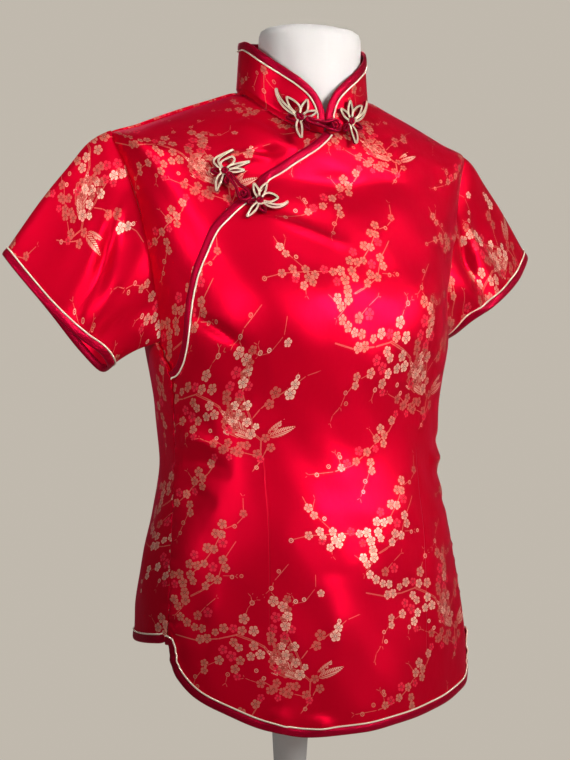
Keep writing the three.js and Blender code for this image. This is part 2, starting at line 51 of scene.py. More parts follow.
MM = 0.001
DEG = math.pi / 180
Array = np.ndarray
Edge = Callable[[Array], Array]  # an edge's angle at a level, or its level at an angle
Face = Callable[[Array, Array], tuple]  # points and normals at two local distances


# ---- curves ----
def hermite(t: Array, start: Array, leave: Array, end: Array, arrive: Array) -> Array:
    """Cubic (2t^3-3t^2+1) start + (t^3-2t^2+t) leave + (3t^2-2t^3) end + (t^3-t^2) arrive."""
    t2, t3 = t * t, t * t * t
    return ((2 * t3 - 3 * t2 + 1) * start + (t3 - 2 * t2 + t) * leave
            + (3 * t2 - 2 * t3) * end + (t3 - t2) * arrive)


class Curve:
    """Monotone cubic curve through a table whose first column is the argument."""

    def __init__(self, rows: list) -> None:
        """Works out one slope per row and column: the weighted harmonic mean of its two rises.

        Args:
            rows: Table rows in rising order of the first column.
        """
        table = np.array(rows, float)
        self.x, self.y = table[:, 0], table[:, 1:]
        width = np.diff(self.x)[:, None]
        rise = np.diff(self.y, axis=0) / width
        slope = np.empty_like(self.y)
        slope[0], slope[-1] = rise[0], rise[-1]
        before, after = rise[:-1], rise[1:]
        a, b = 2 * width[1:] + width[:-1], width[1:] + 2 * width[:-1]
        same = before * after > 0
        safe_before, safe_after = np.where(same, before, 1.0), np.where(same, after, 1.0)
        slope[1:-1] = np.where(same, (a + b) / (a / safe_before + b / safe_after), 0.0)
        self.slope = slope

    def at(self, x: Array) -> Array:
        """Hermite value of every column at x, held level beyond the table's ends.

        Args:
            x: Arguments, any shape.

        Returns:
            Array of x's shape with one more axis for the columns.
        """
        x = np.clip(np.asarray(x, float), self.x[0], self.x[-1])
        i = np.clip(np.searchsorted(self.x, x, side="right") - 1, 0, len(self.x) - 2)
        h = (self.x[i + 1] - self.x[i])[..., None]
        t = (x - self.x[i])[..., None] / h
        return hermite(t, self.y[i], h * self.slope[i], self.y[i + 1], h * self.slope[i + 1])

    def one(self, x: Array) -> Array:
        """First column alone at x."""
        return self.at(x)[..., 0]


def unit(v: Array) -> Array:
    """Vectors of length one along the last axis."""
    return v / np.maximum(np.linalg.norm(v, axis=-1, keepdims=True), 1e-9)


def smooth(t: Array) -> Array:
    """Cubic ease 3t^2 - 2t^3 of t held between 0 and 1."""
    t = np.clip(t, 0.0, 1.0)
    return t * t * (3 - 2 * t)


def refine(knots: list, step: float) -> Array:
    """Values from the first knot to the last that keep every knot and run on by about step."""
    parts = [np.linspace(a, b, max(int(math.ceil(abs(b - a) / step)), 1), endpoint=False)
             for a, b in zip(knots[:-1], knots[1:])]
    return np.concatenate([*parts, [knots[-1]]])


def from_front(angle: Array) -> Array:
    """Angles as their size either side of the centre front, 0 to 180."""
    return np.abs((angle + 180) % 360 - 180)


def facing(face: Callable, a: Array, b: Array, da: float, db: float, top: float = math.inf) -> Array:
    """Unit normals of a surface: the cross product of its two central differences.

    Args:
        face: Points of the surface as a function of a and b.
        a: First parameter.
        b: Second parameter.
        da: Step to either side in a.
        db: Step to either side in b.
        top: Highest b at which the surface is read.

    Returns:
        Normals, of a and b's shape with a last axis of three.
    """
    across = face(a + da, b) - face(a - da, b)
    return unit(np.cross(across, face(a, np.minimum(b + db, top)) - face(a, b - db)))


def run_length(line: Array, closed: bool = False) -> Array:
    """Length along a line up to each point, and back to the first where it is closed."""
    ends = np.concatenate([line, line[:1]]) if closed else line
    return np.concatenate([[0], np.cumsum(np.linalg.norm(np.diff(ends, axis=0), axis=1))])


def respace(line: Array, step: float, *values: Array, closed: bool = False) -> list:
    """Values given at a line's points, read again at places spaced evenly by about step.

    Args:
        line: Points, (N, 2) or (N, 3).
        step: Wanted spacing in mm.
        values: Arrays of N numbers that go with the points.
        closed: The line returns to its start.

    Returns:
        The arrays at the new places, in the same order.
    """
    run = run_length(line, closed)
    count = max(int(round(run[-1] / step)), 3)
    want = np.linspace(0, run[-1], count + 1)[:count if closed else count + 1]
    return [np.interp(want, run, np.append(v, v[0]) if closed else v) for v in values]


def ring_tangent(at: Array) -> Array:
    """Unit tangents of a closed line, from each point's two neighbours."""
    return unit(np.roll(at, -1, 0) - np.roll(at, 1, 0))


# ---- the body surface ----
RINGS = Curve([
    # level, half width, front depth, back depth, centre in Y, height at front, side and back
    [740, 182, 128, 100, -19, 740, 740, 740],
    [800, 179, 128, 98, -19, 800, 800, 800],
    [860, 173, 126, 98, -19, 860, 860, 860],
    [882, 170, 125, 107, -19, 882, 882, 882],
    [900, 168, 124, 115, -19, 900, 900, 900],
    [950, 160, 122, 115, -20, 950, 950, 950],
    [985, 151.5, 119, 112, -20, 985, 985, 985],
    [1015, 145, 114, 112, -19, 1015, 1015, 1015],
    [1040, 141.5, 112, 115, -17, 1040, 1040, 1040],
    [1085, 145, 118, 126, -11, 1085, 1085, 1085],
    [1120, 150, 126, 129, -8, 1120, 1120, 1120],
    [1150, 155, 131, 128, -5, 1150, 1150, 1151],
    [1190, 160.5, 133, 126, 0, 1189, 1193, 1193],
    [1240, 171, 124, 119, 5, 1232, 1258, 1243],
    [1290, 184, 112, 108, 11, 1276, 1318, 1292],
    [1330, 193, 101, 92, 16, 1305, 1355, 1326],
    [1355, 165, 94, 80, 11, 1321, 1366, 1352],
    [1380, 120, 80, 68, 0, 1339, 1383, 1382],
    [1392, 88, 67, 60, -9, 1351, 1394, 1400],
    [1400, 68, 54, 56, -16, 1362, 1402, 1410],
])
SIDE_SEAM = Curve([[760, 66], [868, 67], [900, 69], [953, 74], [987, 78], [1040, 83], [1084, 80],
                   [1110, 78], [1150, 84]])
ARMHOLE_FRONT = [[1150, 84], [1180, 81], [1203, 80.5], [1239, 80.8], [1268, 82.5], [1297, 85],
                 [1318, 88], [1330, 90]]
ARMHOLE_BACK = [[1150, 84], [1162, 91], [1180, 97], [1203, 101], [1239, 104], [1268, 103],
                [1297, 99], [1318, 94], [1330, 90]]
OPENING = [[1121, -78.2], [1127.4, -73.1], [1143.5, -68.5], [1160, -65.7], [1188, -62.6],
           [1210.5, -58], [1236, -50.8], [1256, -45], [1274, -38.1], [1290.7, -32.2],
           [1315.7, -24.4], [1344, -19.4], [1370, -15], [1390, -7.5], [1400, 0.8]]
HEM_FRONT = Curve([[-67, 864], [-66, 853], [-63, 838], [-60.5, 831], [-53, 815.5], [-41.7, 801.5],
                   [-28, 787], [-15, 780.5], [2.4, 783.7], [14.6, 790], [29.4, 798.5], [47.7, 812],
                   [58, 822], [63, 833], [66, 848], [67, 864]])
HEM_BACK = Curve([[67, 868], [72, 865], [85, 864], [110, 866], [150, 852], [180, 845], [210, 852],
                  [250, 866], [275, 864], [288, 865], [293, 870]])
COLLAR_END = Curve([[0, 14], [3, 24], [9.5, 34.5], [18, 40.5], [27, 44], [45, 46], [200, 46]])
CUFF_RIGHT = [[-288, 38, 1240], [-275, 18, 1216], [-249, 2, 1182.5], [-220.5, -2, 1158],
              [-200, 0, 1145], [-187, 12, 1132], [-187, 34, 1129], [-202, 54, 1150],
              [-232, 66, 1190], [-270, 58, 1228]]
CUFF_LEFT = [[287, 38, 1260], [271, 20, 1240], [247.6, 4, 1221], [220, -6, 1201.5],
             [196, -6, 1186], [184, 8, 1170], [183, 30, 1164], [196, 52, 1177], [228, 66, 1206],
             [268, 58, 1246]]
ARMPIT, SHOULDER, NECK = 1150.0, 1330.0, 1400.0
NECK_LAP, NECK_BACK = 1.9, 15.6  # how far the neck edge runs in under the collar; the neck's centre
OPEN_END = OPENING[0][0]


class Crease(Enum):
    """Named kinds of fold, each with its half width and its height in mm, valleys below zero."""

    PULL = (5.0, -3.4)
    RIDGE = (5.5, 3.1)
    WAIST = (6.5, -2.2)
    SOFT = (15.0, -3.2)
    HANG = (15.0, 2.2)
    WAVE = (10.0, 2.6)


PULL, RIDGE, WAIST, SOFT, HANG, WAVE = Crease
CREASES = [  # kind, angle and level of one end, then of the other
    (PULL, -50, 1394, -12, 1384), (RIDGE, -54, 1388, -16, 1377), (PULL, -31, 1365, -20, 1368),
    (RIDGE, -38, 1351, -23, 1358), (SOFT, -34, 1303, -2, 1266), (RIDGE, -26, 1280, 2, 1252),
    (WAIST, -78, 1078, -56, 1072), (RIDGE, -76, 1058, -54, 1048), (WAIST, -76, 1036, -48, 1026),
    (WAIST, -72, 1004, -54, 996), (WAIST, 80, 1064, 54, 1058), (RIDGE, 78, 1046, 50, 1040),
    (WAIST, 76, 1028, 52, 1024), (WAIST, 74, 1004, 58, 998), (SOFT, 76, 1216, 44, 1176),
    (PULL, 80, 1178, 58, 1160), (RIDGE, 78, 1262, 48, 1240), (PULL, -62, 1176, -40, 1140),
    (HANG, -46, 965, -50, 850), (HANG, -8, 930, -6, 800), (HANG, 34, 950, 38, 820),
    (WAVE, -27, 806, -24, 782), (WAVE, -12, 800, -12, 778), (HANG, 58, 940, 60, 860),
    (WAVE, 158, 1052, 202, 1050), (SOFT, 112, 1240, 150, 1170), (SOFT, 248, 1240, 212, 1172),
    (HANG, 120, 960, 118, 866), (HANG, 160, 960, 164, 852), (HANG, 200, 960, 196, 852),
    (HANG, 240, 960, 242, 866), (SOFT, 165, 1330, 195, 1330),
]


class BodySurface:
    """The outer face of the blouse as a function of angle and level, with its folds."""

    MM_PER_DEGREE = 2.7
    BUST = {"angle": 33.0, "spread": 22.0, "level": 1172.0, "below": 48.0, "above": 55.0,
            "out": 11.0, "wide": 3.0}
    ANGLE_STEP, LEVEL_STEP = 1.5, 4.0  # of the tables of lengths
    CHEST = 1128.0  # level at which the length up the cloth is counted from itself
    SLACK = {"from": 1070.0, "over": 180.0, "across": 18.0, "up": 28.0}
    BOW = 3.0  # how far a crease bends off its line
    WAVES = ((0.8, 0.11, 0.024, 0.0), (0.6, 0.17, -0.041, 1.3), (0.3, 0.31, 0.088, 0.4))
    PUCKER = ((0.75, 2.4, 0.0), (0.4, 1.31, 1.0))  # height, length, start
    PUCKER_WIDTH = 9.0

    def __init__(self) -> None:
        """Tabulates the lengths along the rings and across them, for the cloth's own measure."""
        self.angles = np.arange(-100.0, 300.0, self.ANGLE_STEP)
        self.levels = np.arange(740.0, 1401.0, self.LEVEL_STEP)
        grid = self.point(self.angles[None, :], self.levels[:, None])
        across = np.linalg.norm(np.diff(grid, axis=1), axis=2)
        up = np.linalg.norm(np.diff(grid, axis=0), axis=2)
        u = np.concatenate([np.zeros((len(self.levels), 1)), np.cumsum(across, 1)], 1)
        v = np.concatenate([np.zeros((1, len(self.angles))), np.cumsum(up, 0)], 0)
        zero = int(np.argmin(np.abs(self.angles)))
        low = int(np.argmin(np.abs(self.levels - self.CHEST)))
        self.u, self.v = u - u[:, zero:zero + 1], v - v[low:low + 1, :] + self.CHEST

    def point(self, angle: Array, level: Array) -> Array:
        """Half-ellipse rings with bust fullness: x = A sin a, y = c - B cos a, z between ends.

        Args:
            angle: Degrees from the centre front.
            level: Ring levels.

        Returns:
            Points in mm, with a last axis of three.
        """
        angle, level = np.broadcast_arrays(np.asarray(angle, float), np.asarray(level, float))
        half, front, back, centre, z_front, z_side, z_back = np.moveaxis(RINGS.at(level), -1, 0)
        s, c = np.sin(angle * DEG), np.cos(angle * DEG)
        depth, z_end = np.where(c > 0, front, back), np.where(c > 0, z_front, z_back)
        turned, bust = from_front(angle), self.BUST
        away = np.where(level > bust["level"], bust["above"], bust["below"])
        full = np.exp(-((turned - bust["angle"]) / bust["spread"]) ** 2
                      - ((level - bust["level"]) / away) ** 2) * (turned < 100)
        return np.stack([half * s + bust["wide"] * full * np.sign(s),
                         centre - depth * c - bust["out"] * full,
                         z_side + (z_end - z_side) * np.abs(c) ** 1.6], -1)

    def normal(self, angle: Array, level: Array) -> Array:
        """Outward unit normals of the smooth surface."""
        angle, level = np.broadcast_arrays(np.asarray(angle, float), np.asarray(level, float))
        return facing(self.point, angle, level, 0.3, 1.0, NECK)

    def relief(self, angle: Array, level: Array) -> Array:
        """Height of the folds: a Gaussian ridge or valley along each crease's line.

        Each crease adds h exp(-(d/w)^2) sin(pi t)^0.7, where d is the distance to its line and t
        the share along it.  Slow waves add the unevenness of worn cloth, and short ones pucker
        the side seams.

        Args:
            angle: Degrees from the centre front.
            level: Ring levels.

        Returns:
            Heights in mm, valleys below zero.
        """
        angle, level = np.broadcast_arrays(np.asarray(angle, float), np.asarray(level, float))
        x, total = angle * self.MM_PER_DEGREE, np.zeros(angle.shape)
        for kind, a0, l0, a1, l1 in CREASES:
            width, height = kind.value
            dx, dy = (a1 - a0) * self.MM_PER_DEGREE, l1 - l0
            px, py = x - a0 * self.MM_PER_DEGREE, level - l0
            length = math.hypot(dx, dy)
            t = (px * dx + py * dy) / length ** 2
            hump = np.sin(math.pi * np.clip(t, 0, 1))
            bow = (px * dy - py * dx) / length + self.BOW * hump
            total += height * np.exp(-(bow / width) ** 2) * np.where(np.abs(t - 0.5) < 0.5, hump, 0.0) ** 0.7
        waves = sum(h * np.sin(angle * a + level * b + c) for h, a, b, c in self.WAVES)
        total += smooth((1395 - level) / 40) * waves
        off = (from_front(angle) - SIDE_SEAM.one(level)) * self.MM_PER_DEGREE
        near = np.exp(-(off / self.PUCKER_WIDTH) ** 2) * (level < ARMPIT)
        return total + near * sum(h * np.sin(level / wide + c) for h, wide, c in self.PUCKER)

    def lay(self, angle: Array, level: Array, out: Array = 0.0) -> Array:
        """Points on the folded surface, moved out along the normal by out millimetres."""
        lift = (self.relief(angle, level) + out)[..., None]
        return self.point(angle, level) + self.normal(angle, level) * lift

    def folded_normal(self, angle: Array, level: Array) -> Array:
        """Outward unit normals of the folded surface."""
        return facing(self.lay, angle, level, 0.5, 1.5, NECK)

    def measure(self, angle: Array, level: Array) -> Array:
        """Cloth coordinates (u, v) in mm: length round the ring, and length up from mid chest.

        Bilinear reading of the tables that the constructor sums, with the slack that the cloth
        takes up where it turns over the bust.

        Args:
            angle: Degrees from the centre front.
            level: Ring levels.

        Returns:
            Pairs (u, v), of the arguments' shape with a last axis of two.
        """
        def found(values: Array, table: Array, step: float) -> tuple:
            """Whole and broken part of the values' place in an even table."""
            place = np.clip((np.asarray(values, float) - table[0]) / step, 0, len(table) - 1.001)
            return place.astype(int), place - place.astype(int)

        i, a = found(level, self.levels, self.LEVEL_STEP)
        j, b = found(angle, self.angles, self.ANGLE_STEP)

        def read(table: Array) -> Array:
            """Bilinear value of one table at the places found above."""
            return ((1 - a) * (1 - b) * table[i, j] + (1 - a) * b * table[i, j + 1]
                    + a * (1 - b) * table[i + 1, j] + a * b * table[i + 1, j + 1])

        u, v, slack = read(self.u), read(self.v), self.SLACK
        lift = smooth((v - slack["from"]) / slack["over"])
        return np.stack([u - slack["across"] * lift, v - slack["up"] * lift], -1)


BODY = BodySurface()
AFRONT, ABACK, OPEN_LINE = Curve(ARMHOLE_FRONT), Curve(ARMHOLE_BACK), Curve(OPENING)


def side_edge(level: Array, armhole: Curve) -> Array:
    """Angle of a side edge: side seam, then armhole, then shoulder seam at 90 degrees."""
    upper = np.where(level <= SHOULDER, armhole.one(level), 90.0)
    return np.where(level <= ARMPIT, SIDE_SEAM.one(level), upper)


def front_seam(level: Array) -> Array:
    """Angle of the front's side edge."""
    return side_edge(level, AFRONT)


def back_seam(level: Array) -> Array:
    """Angle of the back's side edge."""
    return side_edge(level, ABACK)


def opening(level: Array) -> Array:
    """Angle of the slanting opening above its end, and of the right side seam below it."""
    return np.where(level < OPEN_END, -front_seam(level), OPEN_LINE.one(level))


# ---- meshes ----
@dataclass
class Surface:
    """A finished mesh object with the cloth coordinates of every face corner."""

    obj: bpy.types.Object
    corner_uv: Array
    rim: Array


def build_mesh(name: str, points: Array, quads: Array, corner_uv: Array, caps: list = (),
               crisp: float = 40.0) -> bpy.types.Object:
    """Puts arrays into a mesh whose place is in its vertices, facing outwards.

    Args:
        name: Object and mesh name.
        points: Vertices in mm, (N, 3).
        quads: Faces as vertex indices, (F, 4).
        corner_uv: Cloth coordinates per corner in mm, (F, 4, 2).
        caps: Further polygons as lists of indices, for the ends of swept bars.
        crisp: Edges sharper than this many degrees stay sharp.

    Returns:
        The linked object.
    """
    a, b, c, d = (points[quads[:, k]] for k in range(4))
    volume = np.einsum("ij,ij->", a, np.cross(b, c)) + np.einsum("ij,ij->", a, np.cross(c, d))
    if volume < 0:
        quads, corner_uv = quads[:, ::-1], corner_uv[:, ::-1]
        caps = [list(reversed(cap)) for cap in caps]
    mesh = bpy.data.meshes.new(name)
    cap_loops = [i for cap in caps for i in cap]
    loops = np.concatenate([quads.ravel(), np.array(cap_loops, int)]).astype(np.int32)
    totals = np.array([4] * len(quads) + [len(cap) for cap in caps], np.int32)
    mesh.vertices.add(len(points))
    mesh.vertices.foreach_set("co", (points * MM).astype(np.float32).ravel())
    mesh.loops.add(len(loops))
    mesh.loops.foreach_set("vertex_index", loops)
    mesh.polygons.add(len(totals))
    mesh.polygons.foreach_set("loop_start", np.concatenate([[0], np.cumsum(totals)[:-1]]).astype(np.int32))
    uv = np.zeros((len(loops), 2), np.float32)
    uv[:len(quads) * 4] = corner_uv.reshape(-1, 2) * MM
    mesh.uv_layers.new(name="UVMap").data.foreach_set("uv", uv.ravel())
    mesh.update(calc_edges=True)
    mesh.validate()
    mesh.polygons.foreach_set("use_smooth", np.ones(len(totals), bool))
    mesh.set_sharp_from_angle(angle=crisp * DEG)
    obj = bpy.data.objects.new(name, mesh)
    bpy.context.scene.collection.objects.link(obj)
    return obj


def cells(rows: int, cols: int) -> tuple:
    """Row and column numbers of a grid's cells, as two flat arrays."""
    i, j = np.meshgrid(np.arange(rows), np.arange(cols), indexing="ij")
    return i.ravel(), j.ravel()


def end_caps(rows: int, cols: int) -> list:
    """The first ring turned round and the last ring, as polygons."""
    return [list(range(cols - 1, -1, -1)), [(rows - 1) * cols + k for k in range(cols)]]


def stack_rings(name: str, rings: Array, girth: float, up: Array, crisp: float) -> bpy.types.Object:
    """Closed solid through a stack of rings, each joined to the next and both ends filled.

    Args:
        name: Object name.
        rings: Points in mm, (R, C, 3).
        girth: Cloth coordinate once round, in mm.
        up: Cloth coordinate of each ring, in mm.
        crisp: Edges sharper than this many degrees stay sharp.

    Returns:
        The linked object.
    """
    rows, cols = rings.shape[:2]
    i, j = cells(rows - 1, cols)
    j2 = (j + 1) % cols
    quads = np.stack([i * cols + j, i * cols + j2, (i + 1) * cols + j2, (i + 1) * cols + j], 1)
    u, v = j[:, None] + np.array([0, 1, 1, 0]), i[:, None] + np.array([0, 0, 1, 1])
    uv = np.stack([u * girth / cols, up[v]], 2)
    return build_mesh(name, rings.reshape(-1, 3), quads, uv, end_caps(rows, cols), crisp)


def sheet_surface(name: str, outer: Array, inner: Array, uv: Array, ring: bool = False) -> Surface:
    """Closed shell between an outer and an inner grid.

    Args:
        name: Object name.
        outer: Outer points in mm, (R, C, 3).
        inner: Inner points in mm, (R, C, 3).
        uv: Cloth coordinates, (R, C, 2), with one more column where ring is true.
        ring: Joins the last column to the first.

    Returns:
        The surface, with rim true for the faces of the shell's edges.
    """
    rows, cols = outer.shape[:2]
    spans, wide = (cols, cols + 1) if ring else (cols - 1, cols)
    i, j = np.meshgrid(np.arange(rows - 1), np.arange(spans), indexing="ij")

    def corner(di: int, dj: int) -> tuple:
        """Vertex and cloth-coordinate index of a corner of every cell."""
        return ((i + di) * cols + (j + dj) % cols).ravel(), ((i + di) * wide + j + dj).ravel()

    cells = [corner(0, 0), corner(0, 1), corner(1, 1), corner(1, 0)]
    quads, places = (np.stack([c[k] for c in cells], 1) for k in (0, 1))
    skin = rows * cols
    all_quads, all_places = [quads, quads[:, ::-1] + skin], [places, places[:, ::-1]]

    def wall(a: Array, b: Array, pa: Array, pb: Array, flip: bool) -> None:
        """Adds the strip between the two skins along an edge that runs from a to b."""
        order = slice(None, None, -1 if flip else 1)
        all_quads.append(np.stack([b, a, a + skin, b + skin], 1)[:, order])
        all_places.append(np.stack([pb, pa, pa, pb], 1)[:, order])

    k, m = np.arange(spans), np.arange(rows - 1)
    for row, flip in ((0, False), (rows - 1, True)):
        wall(row * cols + k, row * cols + (k + 1) % cols, row * wide + k, row * wide + k + 1, flip)
    for col, flip in () if ring else ((0, False), (cols - 1, True)):
        low, high = m * cols + col, (m + 1) * cols + col
        wall(high, low, high, low, flip)
    faces, spots = np.concatenate(all_quads), np.concatenate(all_places)
    corner_uv = uv.reshape(-1, 2)[spots]
    rim = np.arange(len(faces)) >= 2 * len(quads)
    points = np.concatenate([outer.reshape(-1, 3), inner.reshape(-1, 3)])
    obj = build_mesh(name, points, faces, corner_uv)
    if not np.array_equal(obj.data.polygons[0].vertices[:], faces[0]):
        corner_uv = corner_uv[:, ::-1]
    return Surface(obj, corner_uv, rim)


@dataclass
class Rail:
    """Frames along a path: place, direction past the edge, and direction out of the cloth."""

    at: Array
    side: Array
    out: Array

    def cleared(self, off: float, step: float = 0.8) -> "Rail":
        """The rail without the frames where a line at distance off would fold back on itself."""
        line = self.at + self.side * off
        keep = [0]
        for i in range(1, len(line) - 1):
            move = line[i] - line[keep[-1]]
            if move @ move > step ** 2 and move @ (self.at[i] - self.at[keep[-1]]) > 0 \
                    and np.linalg.norm(line[-1] - line[i]) > step:
                keep.append(i)
        keep.append(len(line) - 1)
        return Rail(self.at[keep], self.side[keep], self.out[keep])


def sweep(name: str, rail: Rail, section: list, closed: bool = False,
          crisp: float = 50.0) -> bpy.types.Object:
    """Bar of one section along a rail: every point is at + b side + o out.

    Args:
        name: Object name.
        rail: Frames of the path.
        section: Pairs (b, o) in mm, in order round the bar.
        closed: The path returns to its start.
        crisp: Edges sharper than this stay sharp.

    Returns:
        The bar, with cloth coordinates (length along, length round).
    """
    b, o = np.array(section, float).T
    points = (rail.at[:, None] + rail.side[:, None] * b[None, :, None]
              + rail.out[:, None] * o[None, :, None])
    rows, cols = points.shape[:2]
    along, girth = run_length(rail.at, True), run_length(np.array(section, float), True)
    i, j = cells(rows if closed else rows - 1, cols)
    i2, j2 = (i + 1) % rows, (j + 1) % cols
    quads = np.stack([i * cols + j, i * cols + j2, i2 * cols + j2, i2 * cols + j], 1)
    u, v = i[:, None] + np.array([0, 0, 1, 1]), j[:, None] + np.array([0, 1, 1, 0])
    ends = [] if closed else end_caps(rows, cols)
    return build_mesh(name, points.reshape(-1, 3), quads, np.stack([along[u], girth[v]], 2), ends, crisp)


def circle(radius: float, b: float = 0.0, o: float = 0.0, count: int = 10) -> list:
    """Section points of a round cord centred at (b, o)."""
    turns = [2 * math.pi * k / count for k in range(count)]
    return [(b + radius * math.cos(turn), o + radius * math.sin(turn)) for turn in turns]


# ---- the woven pattern ----
class Thread(IntEnum):
    """Colour of a woven figure."""

    CREAM = 0
    SALMON = 1
    CORAL = 2
    BUD = 3


C, S, K, B = Thread.CREAM, Thread.SALMON, Thread.CORAL, Thread.BUD
BLOSSOMS = [  # x, y, radius, thread: one repeat of the cloth, y up, in mm
    (-1, 27, 5.2, C), (-3, 16, 4.5, C), (8, 16, 5.0, C), (7, 42, 2.6, B), (-11, 5, 4.2, C),
    (-6, 0, 4.0, C), (8, 2, 4.6, C), (14, -6, 4.8, C), (5, -8, 4.2, C), (-5, -12, 4.4, C),
    (-25, -12, 4.6, C), (-10, -20, 4.6, C), (-20, 18, 4.6, C), (-28, 14, 3.6, C), (-36, 8, 4.5, C),
    (-43, 7, 4.6, C), (-41, 17, 4.2, C), (-49, 18, 3.9, C), (-57, 22, 4.5, C), (-64, 27, 4.3, C),
    (-46, 29, 4.7, S), (-39, -15, 3.8, C), (-39, -22, 3.6, C), (-48, -28, 2.2, B), (-46, -37, 2.2, B),
    (-17, -25, 2.3, B), (-11, 18, 4.2, K), (-13, -8, 5.2, K), (-21, -2, 4.6, K), (-8, -27, 3.8, K),
    (-35, 32, 5.0, K), (24, 12, 4.4, S), (37, 7, 4.2, S), (30, 0, 4.5, S), (42, -8, 4.4, S),
    (34, -7, 4.2, S), (27, -6, 3.8, S), (35, -18, 5.2, S), (25, -12, 3.8, S), (43, 1, 3.8, S),
    (37, 28, 4.2, S), (40, 36, 4.4, S), (14, -33, 4.4, S), (23, -39, 4.4, S), (29, -32, 4.2, S),
    (35, -40, 4.2, S), (41, -35, 4.0, S), (10, -21, 2.2, B), (40, 46, 4.2, S), (30, -46, 3.4, K),
    (9, -52, 4.4, C), (-5, -60, 5.0, C), (0, -66, 4.4, C), (-10, -69, 4.5, C), (-1, -74, 4.2, C),
    (-21, -82, 4.4, C), (-33, -91, 4.2, C), (-17, -92, 4.4, C), (-16, -100, 4.2, C),
    (-49, -97, 4.0, C), (-62, -96, 2.4, B), (-24, -110, 2.6, B), (-74, -104, 2.4, B),
    (-27, -120, 2.2, B), (-50, -87, 2.2, B), (-30, -81, 4.6, K), (-43, -93, 4.6, K),
    (-11, -79, 3.8, K), (14, -46, 3.8, K), (-51, -84, 2.0, B),
    (-85, -136, 4.4, C), (-80, -143, 4.0, C), (-75, -158, 4.2, C), (-72, -164, 3.6, C),
    (-62, -158, 4.2, C), (-60, -166, 4.5, C), (-53, -163, 4.2, C), (-56, -170, 4.0, C),
    (-65, -173, 4.0, C), (-86, -162, 4.2, C), (-103, -167, 2.5, B), (-70, -146, 2.3, B),
    (-34, -160, 4.0, C), (-26, -159, 4.8, C), (-22, -167, 5.0, C), (-14, -159, 4.6, C),
    (-11, -165, 4.0, C), (-15, -149, 4.6, C), (-7, -150, 4.3, C), (0, -148, 4.0, C),
    (3, -133, 5.0, C), (10, -134, 4.4, C), (12, -119, 4.6, C), (19, -110, 4.8, C),
    (18, -120, 4.2, C), (6, -161, 4.6, C), (14, -163, 4.4, C), (2, -169, 4.2, C),
    (19, -144, 4.6, C), (22, -152, 4.2, C), (-20, -176, 4.8, C), (-19, -183, 5.0, C),
    (-31, -183, 4.6, C), (-27, -189, 4.2, C), (-10, -140, 4.6, K), (-43, -158, 4.4, K),
    (-31, -169, 4.2, K), (9, -151, 4.8, K), (19, -128, 5.0, K), (-73, -167, 4.0, K),
    (28, -160, 2.2, B), (37, -159, 2.0, B), (31, -112, 2.3, B), (40, -100, 4.0, S),
    (-160, 2, 5.2, C), (-151, -3, 5.0, C), (-147, -12, 5.0, C), (-149, -21, 5.0, C),
    (-115, 10, 3.6, C), (-153, -40, 4.4, C), (-141, -40, 4.6, C), (-149, -48, 5.0, C),
    (-154, -54, 4.4, C), (-140, -55, 4.6, C), (-136, -66, 5.2, C), (-131, -59, 3.2, C),
    (-120, -39, 4.8, S), (-116, -29, 5.4, S), (-102, -30, 5.4, C), (-99, -22, 4.4, C),
    (-162, -35, 4.8, S), (-147, -84, 4.6, S), (-140, -77, 4.4, S), (-130, -85, 4.6, S),
    (-117, -79, 4.4, S), (-122, -70, 4.2, S), (-161, -80, 4.2, S), (-158, -13, 5.2, K),
    (-161, -24, 4.8, K), (-150, -31, 4.6, K), (-143, -24, 4.2, K), (-157, -62, 4.4, K),
    (-127, -90, 3.8, K), (-162, 14, 2.4, B), (-155, 30, 2.2, B), (-139, 2, 2.4, B),
    (-131, 4, 2.2, B), (-98, -16, 2.2, B), (-170, -70, 2.2, B), (-131, -98, 2.2, B),
]
